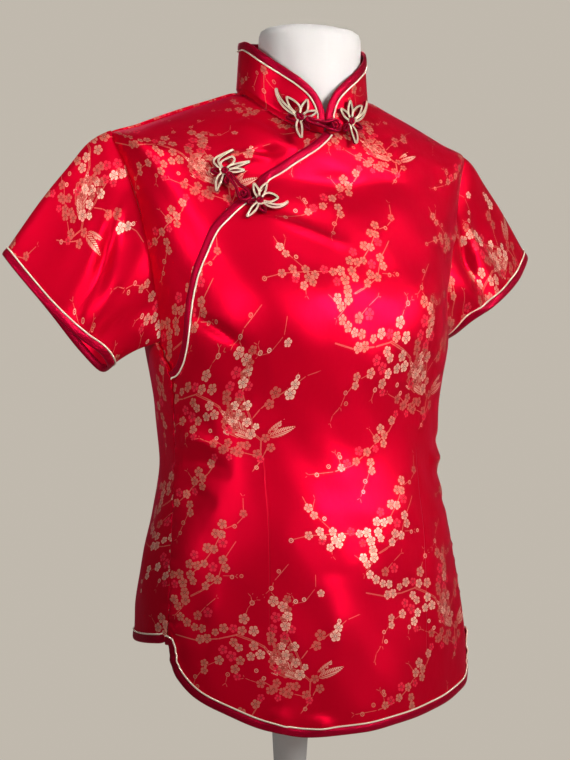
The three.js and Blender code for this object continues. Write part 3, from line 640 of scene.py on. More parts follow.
STEMS = [  # half width, then points: the branches and twigs of one repeat
    (0.9, (-69, 10), (-48, 6), (-25, 8), (-8, 12)), (1.6, (-8, 12), (6, 7), (18, 1), (28, -12)),
    (2.6, (24, -17), (30, -22), (38, -26), (46, -20)), (0.45, (-39, -19), (-48, -30), (-51, -40)),
    (0.4, (-51, -40), (-58, -48), (-60, -55)), (0.4, (-25, -12), (-36, -17)),
    (0.4, (-17, -24), (-19, -33)), (0.45, (-1, 27), (3, 37), (7, 42), (6, 48)),
    (0.5, (-46, 29), (-37, 38), (-27, 46)), (0.4, (14, -33), (4, -30), (-1, -28)),
    (0.9, (15, -48), (6, -62), (-13, -75)), (0.7, (-13, -75), (-25, -86), (-38, -95), (-57, -101)),
    (0.4, (-57, -101), (-82, -104)), (0.45, (-17, -98), (-24, -112), (-28, -120), (-31, -126)),
    (0.4, (-49, -97), (-51, -89), (-55, -83)), (0.4, (-13, -67), (-19, -60)),
    (0.5, (-90, -125), (-85, -136), (-73, -148), (-62, -158)), (0.4, (-82, -139), (-78, -127)),
    (0.5, (-105, -167), (-86, -162), (-54, -160), (-34, -160)),
    (0.9, (-23, -166), (-20, -178), (-22, -190)), (0.7, (-14, -159), (-3, -150), (10, -133), (20, -115)),
    (0.5, (20, -115), (33, -110), (40, -103), (41, -84)), (1.3, (-13, -179), (-3, -174), (4, -170)),
    (0.6, (4, -170), (14, -163), (20, -144), (33, -125)), (0.4, (18, -159), (31, -159)),
    (0.4, (-64, -173), (-63, -181)), (0.4, (-41, -180), (-31, -187)), (0.5, (-22, -190), (-30, -198)),
    (0.5, (-145, 38), (-160, 20), (-162, 10), (-151, -3)),
    (0.8, (-151, -3), (-144, -18), (-148, -28), (-142, -40)),
    (1.5, (-142, -40), (-136, -53), (-133, -66), (-126, -72)), (1.0, (-126, -72), (-127, -90)),
    (0.4, (-120, 29), (-120, 15), (-130, 2), (-140, 0)), (0.5, (-75, -10), (-90, -15), (-103, -25)),
    (0.7, (-103, -25), (-118, -35), (-128, -43), (-135, -52)), (0.6, (-136, -103), (-127, -92), (-120, -79)),
    (0.5, (-172, -72), (-160, -79), (-142, -84), (-130, -87)), (0.35, (-98, -12), (-100, -20)),
    (0.35, (7, 42), (11, 45)), (0.35, (-162, 14), (-168, 8)), (0.35, (-139, 2), (-143, 8)),
]
PAINTED_SHEEN_PATCHES = [  # x, y, radius of the patches of painted sheen, where the cream figures are coloured lighter as if lit, in cloth coordinates
    (-95, 1085, 48), (-38, 868, 62), (5, 962, 62), (-105, 1275, 60), (60, 1120, 40), (88, 880, 40),
    (300, 1000, 90), (420, 1160, 90), (-62, 1120, 40), (330, 1250, 60), (210, 900, 50),
]
PLUMES = [  # base x, base y, direction in degrees, length, half width
    (-119, -69, 22, 28, 3.6), (-120, -66, 40, 23, 2.6), (-138, -68, 140, 38, 4.6),
    (-134, -70, 160, 26, 3.4), (38, -24, 165, 20, 3.4),
]


@dataclass(frozen=True)
class BlossomRepeat:
    """The charted repeat and the way it is laid over the cloth.

    Every face of a cloth mesh gets the local coordinates of the two nearest blossoms, the two
    nearest twigs and the nearest plume, which the finish then draws.
    """

    blossoms: tuple
    stems: tuple
    plumes: tuple
    origin: tuple = (38.0, 1128.0)
    across: tuple = (187.0, 42.0)
    down: tuple = (40.0, -226.0)
    reach: float = 5.5  # how far past a blossom's edge its coordinates are kept
    twig_reach: float = 3.5
    plume_reach: float = 4.0
    block: int = 300  # faces that are compared with their figures at one time
    GOLDEN_TURN, GOLDEN_SHARE = 2.399, 0.618  # turn every figure and its shade apart from the last

    def copies(self, low: Array, high: Array) -> Array:
        """Places of the repeats that can touch a box of cloth coordinates.

        Args:
            low: Lowest cloth coordinates.
            high: Highest cloth coordinates.

        Returns:
            Origins of the repeats, (N, 2).
        """
        p, q = np.array(self.across), np.array(self.down)
        m, n = np.meshgrid(np.arange(-9, 10), np.arange(-9, 10), indexing="ij")
        at = np.array(self.origin) + m.reshape(-1, 1) * p + n.reshape(-1, 1) * q
        return at[np.all((at > low - 220) & (at < high + 220), 1)]

    def branches(self) -> list:
        """The stems' straight parts, and two short forks at each thin one's tip.

        Returns:
            Rows (half width, start x, start y, end x, end y).
        """
        rows = [(w * 0.62, *a, *b) for w, *line in self.stems for a, b in zip(line[:-1], line[1:])]
        for width, *line in self.stems:
            if width < 0.6:
                (x0, y0), (x1, y1) = line[-2:]
                way = math.atan2(y1 - y0, x1 - x0)
                for turn, size in ((0.6, 4.5), (-0.7, 3.6)):
                    tip = x1 + size * math.cos(way + turn), y1 + size * math.sin(way + turn)
                    rows.append((0.25, x1, y1, *tip))
        return rows

    def paint(self, cloth: Surface) -> None:
        """Writes the attributes bloom_a, bloom_b, twig_a, twig_b and plume on face corners.

        Args:
            cloth: The surface, whose rim faces stay plain.
        """
        middle = cloth.corner_uv.mean(1)
        at = self.copies(middle.min(0), middle.max(0))
        self.paint_blossoms(cloth, middle, at)
        self.paint_twigs(cloth, middle, at)
        self.paint_plumes(cloth, middle, at)

    @staticmethod
    def spread(at: Array, places: Array) -> Array:
        """Places of one repeat set down at every repeat's origin, as one list."""
        return (at[:, None] + places[None]).reshape(-1, 2)

    def paint_blossoms(self, cloth: Surface, middle: Array, at: Array) -> None:
        """Local places in the two nearest blossoms, in blossom radii, and thread plus a share of painted
        shade and random tone.

        Args:
            cloth: The surface.
            middle: Face centres, (F, 2).
            at: Origins of the repeats, (N, 2).
        """
        uv, blooms = cloth.corner_uv, np.array([(x, y, r, int(t)) for x, y, r, t in self.blossoms], float)
        place, radius = self.spread(at, blooms[:, :2]), np.tile(blooms[:, 2], len(at))
        turn = np.tile(np.arange(len(blooms)) * self.GOLDEN_TURN, len(at))
        # Painted sheen and shade: near a sheen patch a cream figure takes its lit colour, away from it its
        # shaded colour; uneven adds random tone.
        painted_sheen = sum(np.exp(-((place - (x, y)) ** 2).sum(1) / wide ** 2) for x, y, wide in PAINTED_SHEEN_PATCHES)
        uneven = 0.4 * (np.arange(len(place)) * self.GOLDEN_SHARE % 1.0)
        code = np.tile(blooms[:, 3], len(at)) + 0.95 * np.clip(1.3 - painted_sheen - uneven, 0, 1)
        order, gap = self.nearest(middle, place, radius, lambda c, k: np.linalg.norm(
            c[:, None] - place[None, k], axis=2) - radius[k])
        for k, word in enumerate(("bloom_a", "bloom_b")):
            pick = order[:, k]
            local = (uv - place[pick][:, None]) / radius[pick][:, None, None]
            c, s = np.cos(turn[pick])[:, None], np.sin(turn[pick])[:, None]
            x, y = local[..., 0] * c + local[..., 1] * s, local[..., 1] * c - local[..., 0] * s
            self.store(cloth, word, x, y, np.repeat(code[pick][:, None], 4, 1), gap[:, k] > self.reach)

    def paint_twigs(self, cloth: Surface, middle: Array, at: Array) -> None:
        """Distance off the two nearest twigs, distance past their ends, and half width.

        Args:
            cloth: The surface.
            middle: Face centres, (F, 2).
            at: Origins of the repeats, (N, 2).
        """
        uv, ends = cloth.corner_uv, np.array(self.branches(), float)
        start, stop = self.spread(at, ends[:, 1:3]), self.spread(at, ends[:, 3:5])
        half, length = np.tile(ends[:, 0], len(at)), np.linalg.norm(stop - start, axis=1)
        way = (stop - start) / length[:, None]

        def to_segment(c: Array, k: Array) -> Array:
            """Distance from places to the twigs k, less their half width."""
            rel = c[:, None] - start[None, k]
            t = np.clip(np.einsum("fsk,sk->fs", rel, way[k]), 0, length[k])
            return np.linalg.norm(rel - t[..., None] * way[None, k], axis=2) - half[k]

        order, gap = self.nearest(middle, (start + stop) / 2, length / 2, to_segment)
        for k, word in enumerate(("twig_a", "twig_b")):
            pick = order[:, k]
            rel, d = uv - start[pick][:, None], way[pick][:, None]
            along = (rel * d).sum(2)
            over = np.maximum(np.maximum(-along, along - length[pick][:, None]), 0)
            side = rel[..., 0] * d[..., 1] - rel[..., 1] * d[..., 0]
            self.store(cloth, word, side, over, np.repeat(half[pick][:, None], 4, 1),
                       gap[:, k] > self.twig_reach)

    def paint_plumes(self, cloth: Surface, middle: Array, at: Array) -> None:
        """Share along the nearest plume and distance off its axis in half widths.

        Args:
            cloth: The surface.
            middle: Face centres, (F, 2).
            at: Origins of the repeats, (N, 2).
        """
        plumes = np.array(self.plumes, float)
        base, angle = self.spread(at, plumes[:, :2]), np.tile(plumes[:, 2], len(at)) * DEG
        size = np.tile(plumes[:, 3:5], (len(at), 1))
        axis = np.stack([np.cos(angle), np.sin(angle)], 1)
        heart = base + axis * size[:, :1] / 2
        order, gap = self.nearest(middle, heart, size[:, 0] / 2, lambda c, k: np.linalg.norm(
            c[:, None] - heart[None, k], axis=2) - size[k, 0] / 2)
        pick = order[:, 0]
        rel, d = cloth.corner_uv - base[pick][:, None], axis[pick][:, None]
        x = (rel * d).sum(2) / size[pick, 0][:, None]
        y = (rel[..., 1] * d[..., 0] - rel[..., 0] * d[..., 1]) / size[pick, 1][:, None]
        self.store(cloth, "plume", x, y, np.zeros_like(x), gap[:, 0] > self.plume_reach)

    @staticmethod
    def nearest(middle: Array, centre: Array, reach: Array, distance: Callable) -> tuple:
        """Indices and distances of the two nearest figures for every face, in blocks.

        Args:
            middle: Face centres, (F, 2).
            centre: Figure centres, (K, 2).
            reach: Half the figures' spans, (K,).
            distance: Function from (n, 2) places and k figure numbers to their (n, k) distances.

        Returns:
            (order, gap), each (F, 2), with a gap of 99 where no figure is near.
        """
        order, gap = np.zeros((len(middle), 2), int), np.full((len(middle), 2), 99.0)
        faces = np.arange(len(middle))
        for block in np.array_split(faces, max(len(middle) // BlossomRepeat.block, 1)):
            spot, wide = middle[block], reach[:, None] + 8
            near = np.flatnonzero(np.all((centre > spot.min(0) - wide) & (centre < spot.max(0) + wide), 1))
            if len(near):
                table = distance(spot, near)
                two = np.argsort(table, axis=1)[:, :2]
                order[block, :two.shape[1]] = near[two]
                gap[block, :two.shape[1]] = np.take_along_axis(table, two, 1)
        return order, gap

    @staticmethod
    def store(cloth: Surface, word: str, x: Array, y: Array, z: Array, off: Array) -> None:
        """Keeps one vector per corner, and sends rim faces and those in off far from any figure.

        Args:
            cloth: The surface.
            word: Name of the attribute.
            x: First numbers, (F, 4).
            y: Second numbers, (F, 4).
            z: Third numbers, (F, 4).
            off: Faces that no figure of this kind reaches, (F,).
        """
        value = np.stack([x, y, z], 2).astype(np.float32)
        value[off | cloth.rim] = (9.0, 9.0, 0.0)
        cloth.obj.data.attributes.new(word, "FLOAT_VECTOR", "CORNER").data.foreach_set(
            "vector", value.ravel())


COLLAR_BLOSSOMS = [(0, 39, 2.6, K), (3, 31, 4.4, C), (14, 26, 2.2, B), (4, 11, 2.6, B),
                   (-5, 24, 2.0, B), (-27, 8, 3.8, C), (-35, 14, 2.2, B), (-31, 3, 3.0, K),
                   (-20, 12, 2.2, B), (30, 6, 3.6, C), (36, 11, 2.2, B)]
COLLAR_STEMS = [(0.4, (2, 35), (5, 24), (12, 20), (21, 18)), (0.4, (3, 27), (4, 12), (7, 0), (6, -9)),
                (0.35, (-4, 23), (-8, 9)), (0.4, (-40, 18), (-33, 8), (-24, 6), (-18, 14)),
                (0.4, (24, 1), (31, 4), (38, 13))]
PATTERN = BlossomRepeat(BLOSSOMS, STEMS, PLUMES)
COLLAR_PATTERN = BlossomRepeat(COLLAR_BLOSSOMS, COLLAR_STEMS, ((0, -150, 90, 10, 2),), (288.0, 0.0),
                               (92.0, 0.0), (0.0, -400.0))
# How far an edge is turned in below the cloth by its distance from the seam, and the edge columns.
TURN_IN = Curve([[0, 2.2], [0.05, 0.7], [0.5, 0.25], [1.4, 0.06], [3, 0], [900, 0]])
EDGE_AT = np.array([0, 0.05, 0.5, 1.4, 3.0])
EDGES = len(EDGE_AT)


# ---- panels ----
@dataclass
class Panel:
    """A piece of the body cut between two edges, with its sides turned in at the seams.

    The rows run from a hem line to the neck and the columns from one edge to the other.  The edges
    and their turning in are functions of the level, the hem is one of the angle, and zero_at is
    the angle from which the cloth's width is counted.
    """

    name: str
    left: Edge
    right: Edge
    hem: Edge
    hem_top: float
    levels: Array
    drop: float = 0.0
    cloth: float = 1.2
    step: float = 3.3
    left_turned: Edge = None
    right_turned: Edge = None
    flat: tuple = (0.5, 0.7)
    area: float = 0.2
    zero_at: float = 0.0
    rows: int = 30
    angle: Array = field(default=None, repr=False)
    level: Array = field(default=None, repr=False)

    def lay_out(self) -> None:
        """Fills the grids of angles and levels: even columns between the close edge columns."""
        level_row = np.concatenate([np.full(self.rows, self.hem_top), self.levels])
        a, b = self.left(level_row), self.right(level_row)
        width = BODY.measure(b, level_row)[:, 0] - BODY.measure(a, level_row)[:, 0]
        count = max(int(width.max() / self.step), 6)
        left = EDGE_AT[None] / width[:, None]
        middle = np.linspace(0, 1, count + 1)[None, 1:-1]
        inner = left[:, -1:] + (1 - 2 * left[:, -1:]) * middle
        share = np.concatenate([left, inner, 1 - left[:, ::-1]], 1)
        self.angle = a[:, None] + (b - a)[:, None] * share
        low = self.hem(self.angle[:self.rows])
        k = (np.arange(self.rows) / self.rows)[:, None]
        self.level = np.concatenate([low + (self.hem_top - low) * k,
                                     np.repeat(self.levels[:, None], share.shape[1], 1)])

    def sink(self) -> Array:
        """How far each point lies below the outer face: the lap, and the turned-in edges.

        Returns:
            Depths in mm, of the grid's shape.
        """
        columns = self.angle.shape[1]
        own = np.full(self.angle.shape, self.drop)
        edge = TURN_IN.one(EDGE_AT)
        rise = self.level[:, :1]
        own[:, :EDGES] += edge * self.left_turned(rise)
        own[:, columns - EDGES:] += edge[::-1] * self.right_turned(rise)
        own[-2:] += np.array([[0.5], [2.6]])  # the neck edge dips under the collar
        return own

    def build(self) -> Surface:
        """Makes the shell and weaves the pattern into it.

        Returns:
            The panel's surface.
        """
        self.lay_out()
        sink = self.sink()
        outer = BODY.lay(self.angle, self.level, -sink)
        outer[-1] -= NECK_LAP * unit(outer[-1] * (1.0, 1.0, 0.0) + (0.0, NECK_BACK, 0.0))
        inner = outer - BODY.normal(self.angle, self.level) * self.cloth
        place = BODY.measure(self.angle, self.level)
        if self.zero_at:
            place[..., 0] -= BODY.measure(np.full_like(self.level, self.zero_at), self.level)[..., 0]
        cloth = sheet_surface(self.name, outer, inner, place)
        PATTERN.paint(cloth)
        return cloth


def always(level: Array) -> Array:
    """The edge is turned in along its whole length."""
    return np.ones_like(level)


def never(level: Array) -> Array:
    """The edge lies flat under a binding or a lap."""
    return np.zeros_like(level)


BODY_LEVELS = refine([900, 1121, 1150, 1330, 1399.6], 3.4)
UPPER_LEVELS = refine([1121, 1150, 1330, 1399.6], 3.4)
SEAM = 0.12


def body_panels() -> list:
    """The three pieces of the body, each with its edges, hem, flat size and lap.

    Returns:
        The panels, not yet built.
    """
    return [
        Panel("cloth_front_main", lambda z: opening(z) + SEAM, lambda z: front_seam(z) - SEAM,
              HEM_FRONT.one, 900.0, BODY_LEVELS, rows=36, right_turned=always,
              left_turned=lambda z: smooth((OPEN_END - 4 - z) / 6), flat=(0.47, 0.66), area=0.215),
        Panel("cloth_front_under", lambda z: SEAM - front_seam(z) - 1.7 * smooth((1157 - z) / 6),
              lambda z: np.minimum(opening(z) + 7, 12), lambda a: np.full_like(a, 1108.0), OPEN_END,
              UPPER_LEVELS, drop=2.8, rows=4, left_turned=lambda z: 0.15 + 0 * z, right_turned=never,
              flat=(0.25, 0.33), area=0.035),
        Panel("cloth_back", lambda z: back_seam(z) + SEAM, lambda z: 360 - back_seam(z) - SEAM,
              HEM_BACK.one, 900.0, BODY_LEVELS, rows=14, left_turned=always, right_turned=always,
              zero_at=180.0, flat=(0.50, 0.60), area=0.262),
    ]


# ---- sleeves ----
def even_loop(knots: list, count: int) -> Array:
    """Evenly spaced points on a closed centripetal Catmull-Rom curve through the knots.

    Each span uses knot intervals of the square root of its chord, as tangents
    (p1-p0)/t0 - (p2-p0)/(t0+t1) + (p2-p1)/t1, scaled by t1.

    Args:
        knots: Points of the loop, without the first one again at the end.
        count: Number of points wanted.

    Returns:
        The points, (count, 3).
    """
    p = np.array(knots, float)
    p0, p1, p2, p3 = np.roll(p, 1, 0), p, np.roll(p, -1, 0), np.roll(p, -2, 0)
    t0, t1, t2 = (np.sqrt(np.linalg.norm(b - a, axis=1))[:, None]
                  for a, b in ((p0, p1), (p1, p2), (p2, p3)))
    m1 = ((p1 - p0) / t0 - (p2 - p0) / (t0 + t1) + (p2 - p1) / t1) * t1
    m2 = ((p2 - p1) / t1 - (p3 - p1) / (t1 + t2) + (p3 - p2) / t2) * t1
    t = np.linspace(0, 1, 60, endpoint=False)[None, :, None]
    line = hermite(t, p1[:, None], m1[:, None], p2[:, None], m2[:, None]).reshape(-1, 3)
    run, ends = run_length(line, True), np.concatenate([line, line[:1]])
    want = np.arange(count) / count * run[-1]
    return np.stack([np.interp(want, run, ends[:, k]) for k in range(3)], 1)


@dataclass
class Sleeve:
    """A short set-in sleeve carried from the armhole to its cuff line.

    The place is the cloth coordinate of the armhole's front, where the pattern starts.
    """

    name: str
    side: int
    cuff: list
    place: tuple
    columns: int = 132
    cuff_turn: float = 7.0
    cloth: float = 1.2
    outer: Array = field(default=None, repr=False)
    inner: Array = field(default=None, repr=False)
    FOLDS = ((0.20, 0.10, 0.032, -5.2), (0.29, 0.05, 0.035, 3.6), (0.39, -0.02, 0.03, -4.2),
             (0.62, -0.08, 0.035, -2.8), (0.75, -0.04, 0.04, 2.2), (0.88, 0.0, 0.04, -2.0),
             (0.11, 0.06, 0.03, -2.4))  # place round the sleeve, lean, width, height
    HEAD = 4.6  # how far the gathered head stands out at the shoulder

    def armhole(self) -> list:
        """Armhole points on the unfolded body, down the front and up the back."""
        rows = [*reversed(ARMHOLE_FRONT), *ARMHOLE_BACK[1:-1]]
        return list(BODY.point(self.side * np.array([r[1] for r in rows]), np.array([r[0] for r in rows])))

    def creases(self, share: Array, t: Array) -> Array:
        """Folds that radiate from the underarm and one soft valley down the sleeve.

        Args:
            share: Place round the sleeve from 0 at the top, down the front, to 1.
            t: Place along it from 0 at the armhole to 1 at the cuff.

        Returns:
            Heights in mm, valleys below zero.
        """
        total = 1.1 * np.sin(share * 21 + t * 3) * np.sin(math.pi * t)
        held = np.sin(math.pi * np.clip(t, 0, 1)) ** 0.8
        for start, lean, width, height in self.FOLDS:
            total = total + height * np.exp(-((share - start - lean * t) / width) ** 2) * held
        total = total - 8.0 * np.exp(-((share - 0.13 - 0.24 * t) / 0.026) ** 2 - ((t - 0.34) / 0.2) ** 2)
        top = np.exp(-(np.minimum(share, 1 - share) / 0.15) ** 2) * np.exp(-((t - 0.15) / 0.15) ** 2)
        return total + self.HEAD * top

    def build(self) -> Surface:
        """Bezier from each armhole point to its cuff point; rows near the armhole turn in.

        Returns:
            The sleeve's surface, its pattern following the length and the girth.
        """
        root, edge = even_loop(self.armhole(), self.columns), even_loop(self.cuff, self.columns)
        reach = edge - root
        span, along = np.linalg.norm(reach, axis=1, keepdims=True), unit(reach)
        away = np.array([self.side, 0.0, 0.0])
        leave = unit(along * 0.66 + away * 0.34)
        arrive = unit(along * 0.6 + np.array([self.side * 0.18, 0, -0.36]))
        end = edge + arrive * self.cuff_turn
        a = root - leave * 2.6 - away * 0.4
        b, c = a + leave * span / 3, end - arrive * span / 3
        t = np.concatenate([[0, 0.0005, 0.006, 0.014, 0.03], np.linspace(0.03, 1, 44)[1:]])[:, None, None]
        grid = ((1 - t) ** 3 * a + 3 * (1 - t) ** 2 * t * b + 3 * (1 - t) * t ** 2 * c + t ** 3 * end)
        down = np.gradient(grid, axis=0)
        across = np.roll(grid, -1, 1) - np.roll(grid, 1, 1)
        normal = unit(np.cross(across, down)) * self.side
        share = (np.arange(self.columns) / self.columns)[None, :]
        lift = self.creases(share, t[..., 0])
        lift[:EDGES] -= TURN_IN.one(EDGE_AT)[:, None]
        self.outer = grid + normal * lift[..., None]
        self.inner = self.outer - normal * self.cloth
        girth = np.linalg.norm(np.roll(grid, -1, 1) - grid, axis=2)
        u = np.concatenate([np.zeros((len(grid), 1)), np.cumsum(girth, 1)], 1)
        u = u - u[:, self.columns // 4][:, None]
        v = np.cumsum(np.concatenate([np.zeros((1, self.columns)),
                                      np.linalg.norm(np.diff(grid, axis=0), axis=2)]), 0)
        v = np.concatenate([v, v[:, :1]], 1)
        uv = np.stack([self.place[0] - u * self.side, self.place[1] - v], 2)
        cloth = sheet_surface(self.name, self.outer, self.inner, uv, ring=True)
        PATTERN.paint(cloth)
        return cloth

    def rail(self) -> Rail:
        """Frames round the cuff's edge."""
        at, back = self.outer[-1], self.outer[-3]
        tangent, past = ring_tangent(at), at - back
        side = unit(past - tangent * (past * tangent).sum(1, keepdims=True))
        out = np.cross(tangent, side)
        return Rail(at, side, out * np.sign((out * (at - self.inner[-1])).sum(1, keepdims=True)))


# ---- collar ----
@dataclass
class Collar:
    """The standing collar: the neckline ring carried up and drawn in a little."""

    name: str = "cloth_collar"
    start: float = 1.2
    height: float = 46.0
    gap: float = 0.4
    cloth: float = 1.8
    radius: float = 60.0

    def point(self, angle: Array, h: Array) -> Array:
        """Neckline point raised by h, drawn towards the axis by 5 and 6 per cent at the top."""
        base, t = BODY.point(angle, np.full(np.shape(angle), NECK)), h / self.height
        soft = 0.5 * np.sin(np.asarray(angle) * 0.075 + h * 0.06) * np.clip(t, 0, 1)
        s, c = np.sin(np.asarray(angle) * DEG), np.cos(np.asarray(angle) * DEG)
        return np.stack([base[..., 0] * (1 - 0.05 * t) + soft * s,
                         -NECK_BACK + (base[..., 1] + 16) * (1 - 0.06 * t) + 0.6 * t - soft * c,
                         base[..., 2] + self.gap + h], -1)

    def top(self, angle: Array) -> Array:
        """Height at an angle: the rounded front ends rise to the full height."""
        turned = np.where(angle > 180, 360 - angle, angle)
        return COLLAR_END.one((turned - self.start) * DEG * self.radius)

    def normal(self, angle: Array, h: Array) -> Array:
        """Outward unit normals."""
        return facing(self.point, angle, h, 1.0, 1.0)

    def build(self) -> Surface:
        """Makes the collar's shell, whose foot turns in below the neck seam.

        Returns:
            The collar's surface.
        """
        angle = refine([self.start, 8, 30, 330, 352, 360 - self.start], 2.2)[None, :]
        foot = np.array([-5.0, -2.2, -0.3, 0.8])[:, None]
        sink = np.concatenate([[1.8, 1.3, 0.4, 0.0], np.zeros(18)])[:, None, None]
        share = np.linspace(0.0, 1.0, 19)[1:, None]
        top = self.top(angle)
        h = np.concatenate([foot + 0 * angle, 0.8 + (top - 0.8) * share])
        angle = np.repeat(angle, len(h), 0)
        normal = self.normal(angle, h)
        outer = self.point(angle, h) - normal * sink
        uv = np.stack([angle * DEG * self.radius * 0.98 - 20, h], 2)
        cloth = sheet_surface(self.name, outer, outer - normal * self.cloth, uv)
        COLLAR_PATTERN.paint(cloth)
        return cloth

    def rail(self) -> Rail:
        """Frames up one rounded front end, round the top and down the other.

        Returns:
            The rail, with tangents evened out over seven frames to round the corners.
        """
        fine = refine([self.start, 1.8, 4, 12, 40, 320, 348, 356, 358.2, 360 - self.start], 0.8)
        angle, h = fine, self.top(fine)
        ends = np.linspace(1.0, h[0] - 1, 8)
        angle = np.concatenate([np.full(8, fine[0]), angle, np.full(8, fine[-1])])
        h = np.concatenate([ends, h, ends[::-1]])
        angle, h = respace(self.point(angle, h), 1.6, angle, h)
        at, out = self.point(angle, h), self.normal(angle, h)
        tangent = unit(np.gradient(at, axis=0))
        soft = np.ones(7) / 7
        padded = np.pad(tangent, ((3, 3), (0, 0)), mode="edge")
        tangent = unit(np.stack([np.convolve(padded[:, k], soft, "valid") for k in range(3)], 1))
        side = unit(np.cross(out, tangent))
        middle = len(at) // 2
        return Rail(at, side * np.sign(side[middle, 2]), out)


# ---- bindings and piping ----
FOLDED = [(-6.5, 0.1), (-6.4, 0.75), (-5.6, 1.2), (-3.6, 1.4), (-1.2, 1.4), (0.4, 1.05), (1.1, 0.3),
          (1.25, -0.6), (0.95, -1.45), (0.0, -1.95), (-3, -2.1), (-6.2, -1.95), (-6.6, -1.6),
          (-5.6, -1.35), (-1, -1.35), (0.1, -1.2), (0.4, -0.6), (0.2, 0.0), (-1, 0.12), (-5.5, 0.12)]
CORD_OFF = -7.4


@dataclass
class Trims:
    """The bias bindings and the piping cords along every finished edge."""

    step: float = 2.2

    def body_rail(self, angle: Array, level: Array, toward: tuple) -> Rail:
        """Frames along a line on the body's folded surface.

        Args:
            angle: Angles of a dense line.
            level: Levels of the same line.
            toward: Direction (angle, level) on the surface that leads off the cloth.

        Returns:
            The rail, its frames spaced evenly.
        """
        angle, level = respace(BODY.point(angle, level), self.step, angle, level)
        at, out = BODY.lay(angle, level), BODY.folded_normal(angle, level)
        tangent = unit(np.gradient(at, axis=0))
        side = unit(np.cross(out, tangent))
        probe = BODY.point(angle + 0.2 * toward[0], level + 0.5 * toward[1]) - BODY.point(angle, level)
        sign = np.sign((side * probe).sum(1).sum())
        return Rail(at, side * sign, out)

    def front_hem(self) -> Rail:
        """The front's lower edge, corner to corner."""
        angle = refine([-68.86, -66, -60, 60, 66, 68.86], 0.25)
        return self.body_rail(angle, HEM_FRONT.one(angle), (0, -1))

    def back_hem(self) -> Rail:
        """The back's lower edge, side seam to side seam."""
        angle = refine([69.2, 75, 285, 290.8], 0.5)
        return self.body_rail(angle, HEM_BACK.one(angle), (0, -1))

    def opening(self) -> Rail:
        """The slanting edge from the underarm to just short of the collar."""
        level = refine([OPEN_END, 1128, 1344, 1390, 1397.5], 1.0)
        return self.body_rail(opening(level) + SEAM, level, (-1, 0))

    def build(self, collar: Collar, sleeves: dict) -> dict:
        """Sweeps a folded binding and a round cord along each rail.

        Args:
            collar: The collar, for its edge.
            sleeves: Sleeve classes by word.

        Returns:
            Pairs (binding, piping) by the word in their nodes' names.
        """
        rails = {"opening": (self.opening(), False), "hem_front": (self.front_hem(), False),
                 "hem_back": (self.back_hem(), False), "collar": (collar.rail(), False)}
        rails.update({f"cuff_{word}": (sleeve.rail(), True) for word, sleeve in sleeves.items()})
        made = {}
        for word, (rail, closed) in rails.items():
            cord_rail = rail if closed else rail.cleared(CORD_OFF)
            made[word] = (sweep(f"trim_binding_{word}", rail, FOLDED, closed),
                          sweep(f"trim_piping_{word}", cord_rail, circle(0.78, CORD_OFF, 1.0), closed))
        return made


# ---- frog fastenings ----
@dataclass
class Frog:
    """One half of a fastening: a satin band on edge, bent into open petals, with a cream rim.

    The petals are listed as direction, length, width and bend, in degrees and mm, counted from
    the direction of the knot, and whether they are edged in cream.
    """

    name: str
    face: Face
    mirror: int
    rest: float
    petals: tuple = ((58, 18, 4.6, 0, True), (90, 20, 5.2, 4, True), (140, 18, 9.5, 12, True),
                     (190, 27, 3.6, -26, True), (232, 13, 5.5, 0, False), (284, 22, 4.6, 6, True),
                     (326, 12, 4.2, 0, False))
    root: float = 3.4
    RIM = [(-0.78, 2.0), (-0.9, 2.7), (-0.7, 3.4), (-0.38, 3.5), (0, 3.0), (0.38, 3.5), (0.7, 3.4),
           (0.9, 2.7), (0.78, 2.0), (0, 2.3)]
    BAND = [(-1.2, 0.1), (-1.4, 1.3), (-1.0, 2.4), (0, 2.9), (1.0, 2.4), (1.4, 1.3), (1.2, 0.1)]
    STEP = 0.9  # spacing of the frames along a cord

    def outline(self, cream: bool = False) -> Array:
        """Closed line round the petals: width sin(pi t^0.8)^0.7 either side of each bent axis.

        Args:
            cream: Leaves out the petals that have no cream edge.

        Returns:
            Flat points in mm from the middle, (N, 2).
        """
        t = np.array([0.06, 0.16, 0.28, 0.42, 0.56, 0.7, 0.82, 0.91, 0.97, 1.0])
        pieces = []
        for direction, length, width, bend, edged in self.petals:
            if cream and not edged:
                continue
            r, a = self.root + (length - self.root) * t, (direction + bend * t * t) * DEG
            half = np.maximum(width / 2 * np.sin(math.pi * np.minimum(t, 0.98) ** 0.8) ** 0.7, 0.8)
            half[-1] = 0.35
            for sign, order in ((-1, slice(None)), (1, slice(None, None, -1))):
                x = self.mirror * (r * np.cos(a) - sign * half * np.sin(a))
                pieces.append(np.stack([x, r * np.sin(a) + sign * half * np.cos(a)], 1)[order])
        return np.concatenate(pieces)

    def rail(self, flat: Array) -> Rail:
        """Frames of a closed flat line laid on the face below it."""
        at, out = self.face(*respace(flat, self.STEP, *flat.T, closed=True))
        return Rail(at + out * self.rest, unit(np.cross(ring_tangent(at), out)), out)

    def build(self) -> tuple:
        """Band, cream rim and the wrapped root at the centre.

        Returns:
            The band, the rim and the root objects.
        """
        rail = self.rail(self.outline())
        band = sweep(f"frog_band_{self.name}", rail, self.BAND, True)
        rim = sweep(f"frog_rim_{self.name}", self.rail(self.outline(True)), self.RIM, True)
        turn = np.arange(16) * math.pi / 8
        ring = self.rail(2.1 * np.stack([np.cos(turn), np.sin(turn)], 1))
        return band, rim, sweep(f"frog_root_{self.name}", ring, circle(1.9, 0.0, 2.6, 10), True)


